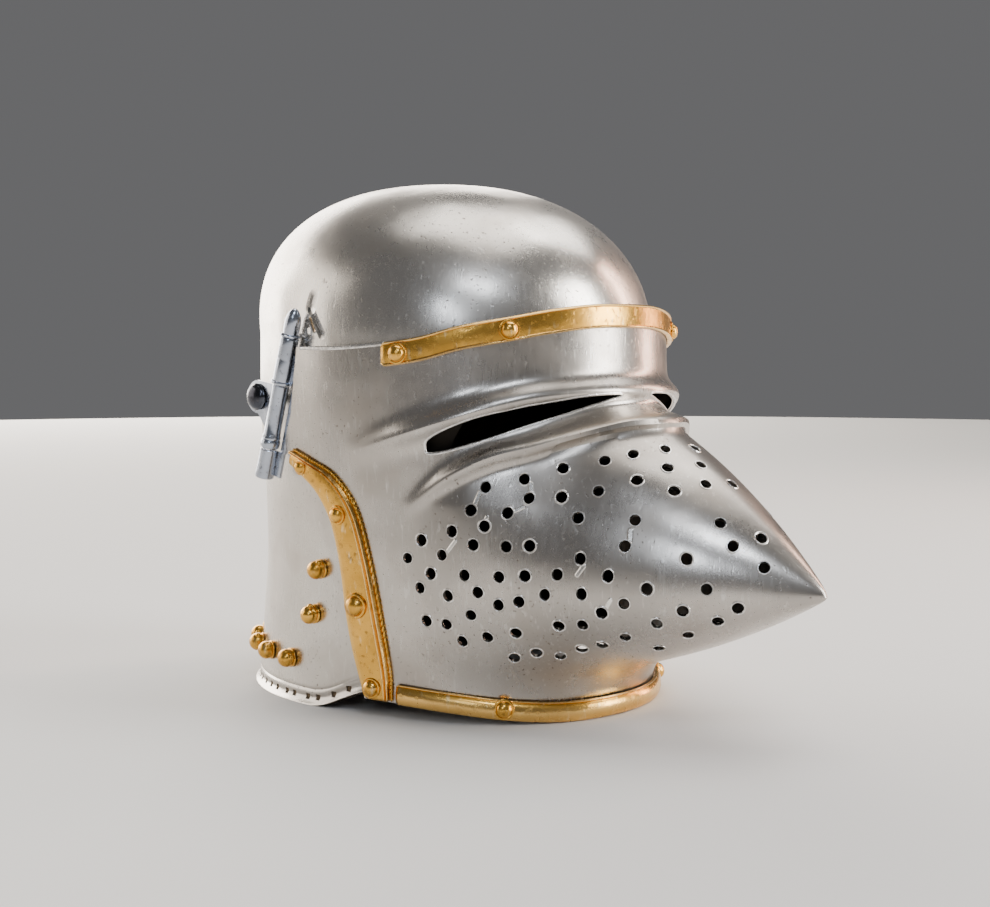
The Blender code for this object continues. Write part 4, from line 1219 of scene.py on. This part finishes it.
# share along the pin, share of the knuckle's radius
FOOT_KNUCKLE = ((0.000, 0.92), (0.004, 1.02), (0.020, 1.03), (0.060, 0.99), (0.110, 0.96), (0.150, 0.95),
                (0.168, 0.96), (0.172, 0.90))
ARM_KNUCKLE = ((0.182, 0.92), (0.186, 1.00), (0.200, 1.04), (0.216, 1.04), (0.226, 0.98), (0.232, 0.90),
               (0.236, 0.98), (0.250, 0.98), (0.256, 0.90), (0.350, 0.88), (0.460, 0.88), (0.530, 0.90),
               (0.548, 0.90), (0.552, 0.84))
TOP_KNUCKLE = ((0.560, 0.92), (0.563, 1.14), (0.570, 1.16), (0.577, 1.12), (0.581, 1.00), (0.640, 1.00),
               (0.700, 1.00), (0.708, 0.95), (0.714, 0.97), (0.790, 0.97), (0.825, 0.98), (0.831, 0.92))
PIN_HEAD = ((0.833, 0.40), (0.835, 0.98), (0.839, 1.10), (0.844, 1.10), (0.849, 0.98), (0.853, 0.80),
            (0.880, 0.86), (0.910, 0.87), (0.935, 0.83), (0.957, 0.73), (0.975, 0.57), (0.989, 0.38),
            (0.997, 0.20), (1.000, 0.06))
PIN_FOOT = ((-0.012, 0.20), (-0.008, 0.34), (-0.001, 0.38), (0.010, 0.38))
HINGE_STEEL = polished_finish("polished_hinge_steel", (0.50, 0.54, 0.62), (0.38, 0.41, 0.47), 0.20)


def rounded_copy(node, name, foot, line):
    """Copy of a plate of the frame, its corners eased and its knuckles' facets drawn in."""
    piece = bpy.data.objects.new(name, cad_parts[node].data.copy())
    bpy.context.scene.collection.objects.link(piece)
    piece.data.materials.clear()
    for v in piece.data.vertices:
        away = v.co - foot
        away = away - away.project(line)
        if away.length < KNUCKLE * 1.02:
            v.co = v.co - away * 0.25
    edit(piece, merge_close, lambda: bpy.ops.mesh.dissolve_limited(angle_limit=math.radians(1.0)))
    modify(piece, "BEVEL", width=0.00035, segments=2, limit_method="ANGLE", angle_limit=math.radians(40))
    smooth(piece, 35)
    return piece


for side, label in SIDES:
    foot = Vector(place((side * HINGE_STANDOFF, *HINGE_FOOT)))
    top = Vector(place((side * HINGE_STANDOFF, *HINGE_TOP)))
    line = top - foot
    stand = Matrix.Translation(foot) @ line.normalized().to_track_quat("Z", "Y").to_matrix().to_4x4()
    turned = {}
    for kind, rows in (("foot", FOOT_KNUCKLE), ("arm", ARM_KNUCKLE), ("top", TOP_KNUCKLE), ("head", PIN_HEAD),
                       ("tail", PIN_FOOT)):
        turned[kind] = turned_piece(kind, 36, [(s * line.length, r * KNUCKLE) for s, r in rows])
        turned[kind].data.transform(stand)
    arm = join("arm_" + label, [rounded_copy("pivot_arm_" + label, "plate", foot, line), turned["arm"]])
    leaf = join("leaf_" + label, [rounded_copy("hinge_leaf_" + label, "plate", foot, line),
                                  turned["foot"], turned["top"]])
    pin = join("pin_" + label, [turned["head"], turned["tail"]])
    for piece, node in ((arm, "pivot_arm_"), (leaf, "hinge_leaf_"), (pin, "hinge_pin_")):
        piece.data.materials.clear()
        piece.data.materials.append(HINGE_STEEL)
        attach(piece, "visor")
        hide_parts(node + label)

# The floor is a plain pale disc, and soft panels light the helmet.
FLOOR_RADIUS = 3.3
PANEL_AIM = Vector((0, 0, 0.13))
select()
bpy.ops.mesh.primitive_circle_add(vertices=128, radius=FLOOR_RADIUS, fill_type="NGON")
floor = bpy.context.object
floor.name = "floor"
pale = Finish("pale_floor", 0.0)
pale.shader.inputs["Base Color"].default_value = (0.74, 0.73, 0.71, 1.0)
pale.shader.inputs["Roughness"].default_value = 0.8
floor.data.materials.append(pale.material)

world = bpy.data.worlds.new("studio")
bpy.context.scene.world = world
world.use_nodes = True
world.node_tree.nodes["Background"].inputs["Color"].default_value = (0.70, 0.70, 0.72, 1.0)
world.node_tree.nodes["Background"].inputs["Strength"].default_value = 0.20


def panel(name, bearing, distance, height, width, tall, power, colour):
    """Soft rectangular lamp that faces the helmet from a bearing, in degrees from its front."""
    lamp = bpy.data.lights.new(name, "AREA")
    lamp.shape = "RECTANGLE"
    lamp.size = width
    lamp.size_y = tall
    lamp.energy = power
    lamp.color = colour
    holder = bpy.data.objects.new(name, lamp)
    bpy.context.scene.collection.objects.link(holder)
    turn = math.radians(bearing)
    spot = Vector((distance * math.sin(turn), -distance * math.cos(turn), height))
    holder.location = spot
    holder.visible_camera = False
    holder.rotation_euler = (PANEL_AIM - spot).to_track_quat("-Z", "Y").to_euler()


panel("back_cream_panel", 162, 3.6, 1.20, 4.6, 2.3, 300, (1.0, 0.93, 0.85))
panel("left_back_panel", -143, 3.4, 1.15, 2.1, 2.2, 38, (1.0, 0.93, 0.84))
panel("top_panel", 100, 0.25, 1.8, 1.2, 1.0, 13, (1.0, 0.97, 0.93))
panel("right_top_panel", 88, 1.0, 1.6, 0.8, 0.8, 9, (1.0, 0.97, 0.94))
panel("white_strip", 31, 1.6, 0.60, 0.60, 1.3, 34, (1.0, 0.99, 0.97))
panel("rose_strip", 74, 1.6, 0.55, 0.25, 1.2, 12, (1.0, 0.66, 0.52))
panel("cool_panel", -38, 1.3, 1.35, 0.5, 0.30, 6, (0.80, 0.88, 1.0))
panel("low_cool_panel", -58, 1.6, 0.75, 0.25, 0.35, 2.5, (0.78, 0.87, 1.0))

CAMERA_BEARING = math.radians(-47)
CAMERA_RISE = math.radians(4)
CAMERA_DISTANCE = 0.820
PHOTO_WIDTH = 990
FOCAL_PIXELS = 1520
target = Vector((0.0, MIDDLE - 0.024, 0.1269))
view = Vector((math.sin(CAMERA_BEARING) * math.cos(CAMERA_RISE),
               -math.cos(CAMERA_BEARING) * math.cos(CAMERA_RISE), math.sin(CAMERA_RISE)))
lens = bpy.data.cameras.new("camera")
lens.sensor_fit = "HORIZONTAL"
lens.sensor_width = 36.0
lens.lens = lens.sensor_width * FOCAL_PIXELS / PHOTO_WIDTH
lens.clip_start = 0.01
camera = bpy.data.objects.new("camera", lens)
bpy.context.scene.collection.objects.link(camera)
camera.location = target + view * CAMERA_DISTANCE
camera.rotation_euler = (-view).to_track_quat("-Z", "Y").to_euler()
bpy.context.scene.camera = camera
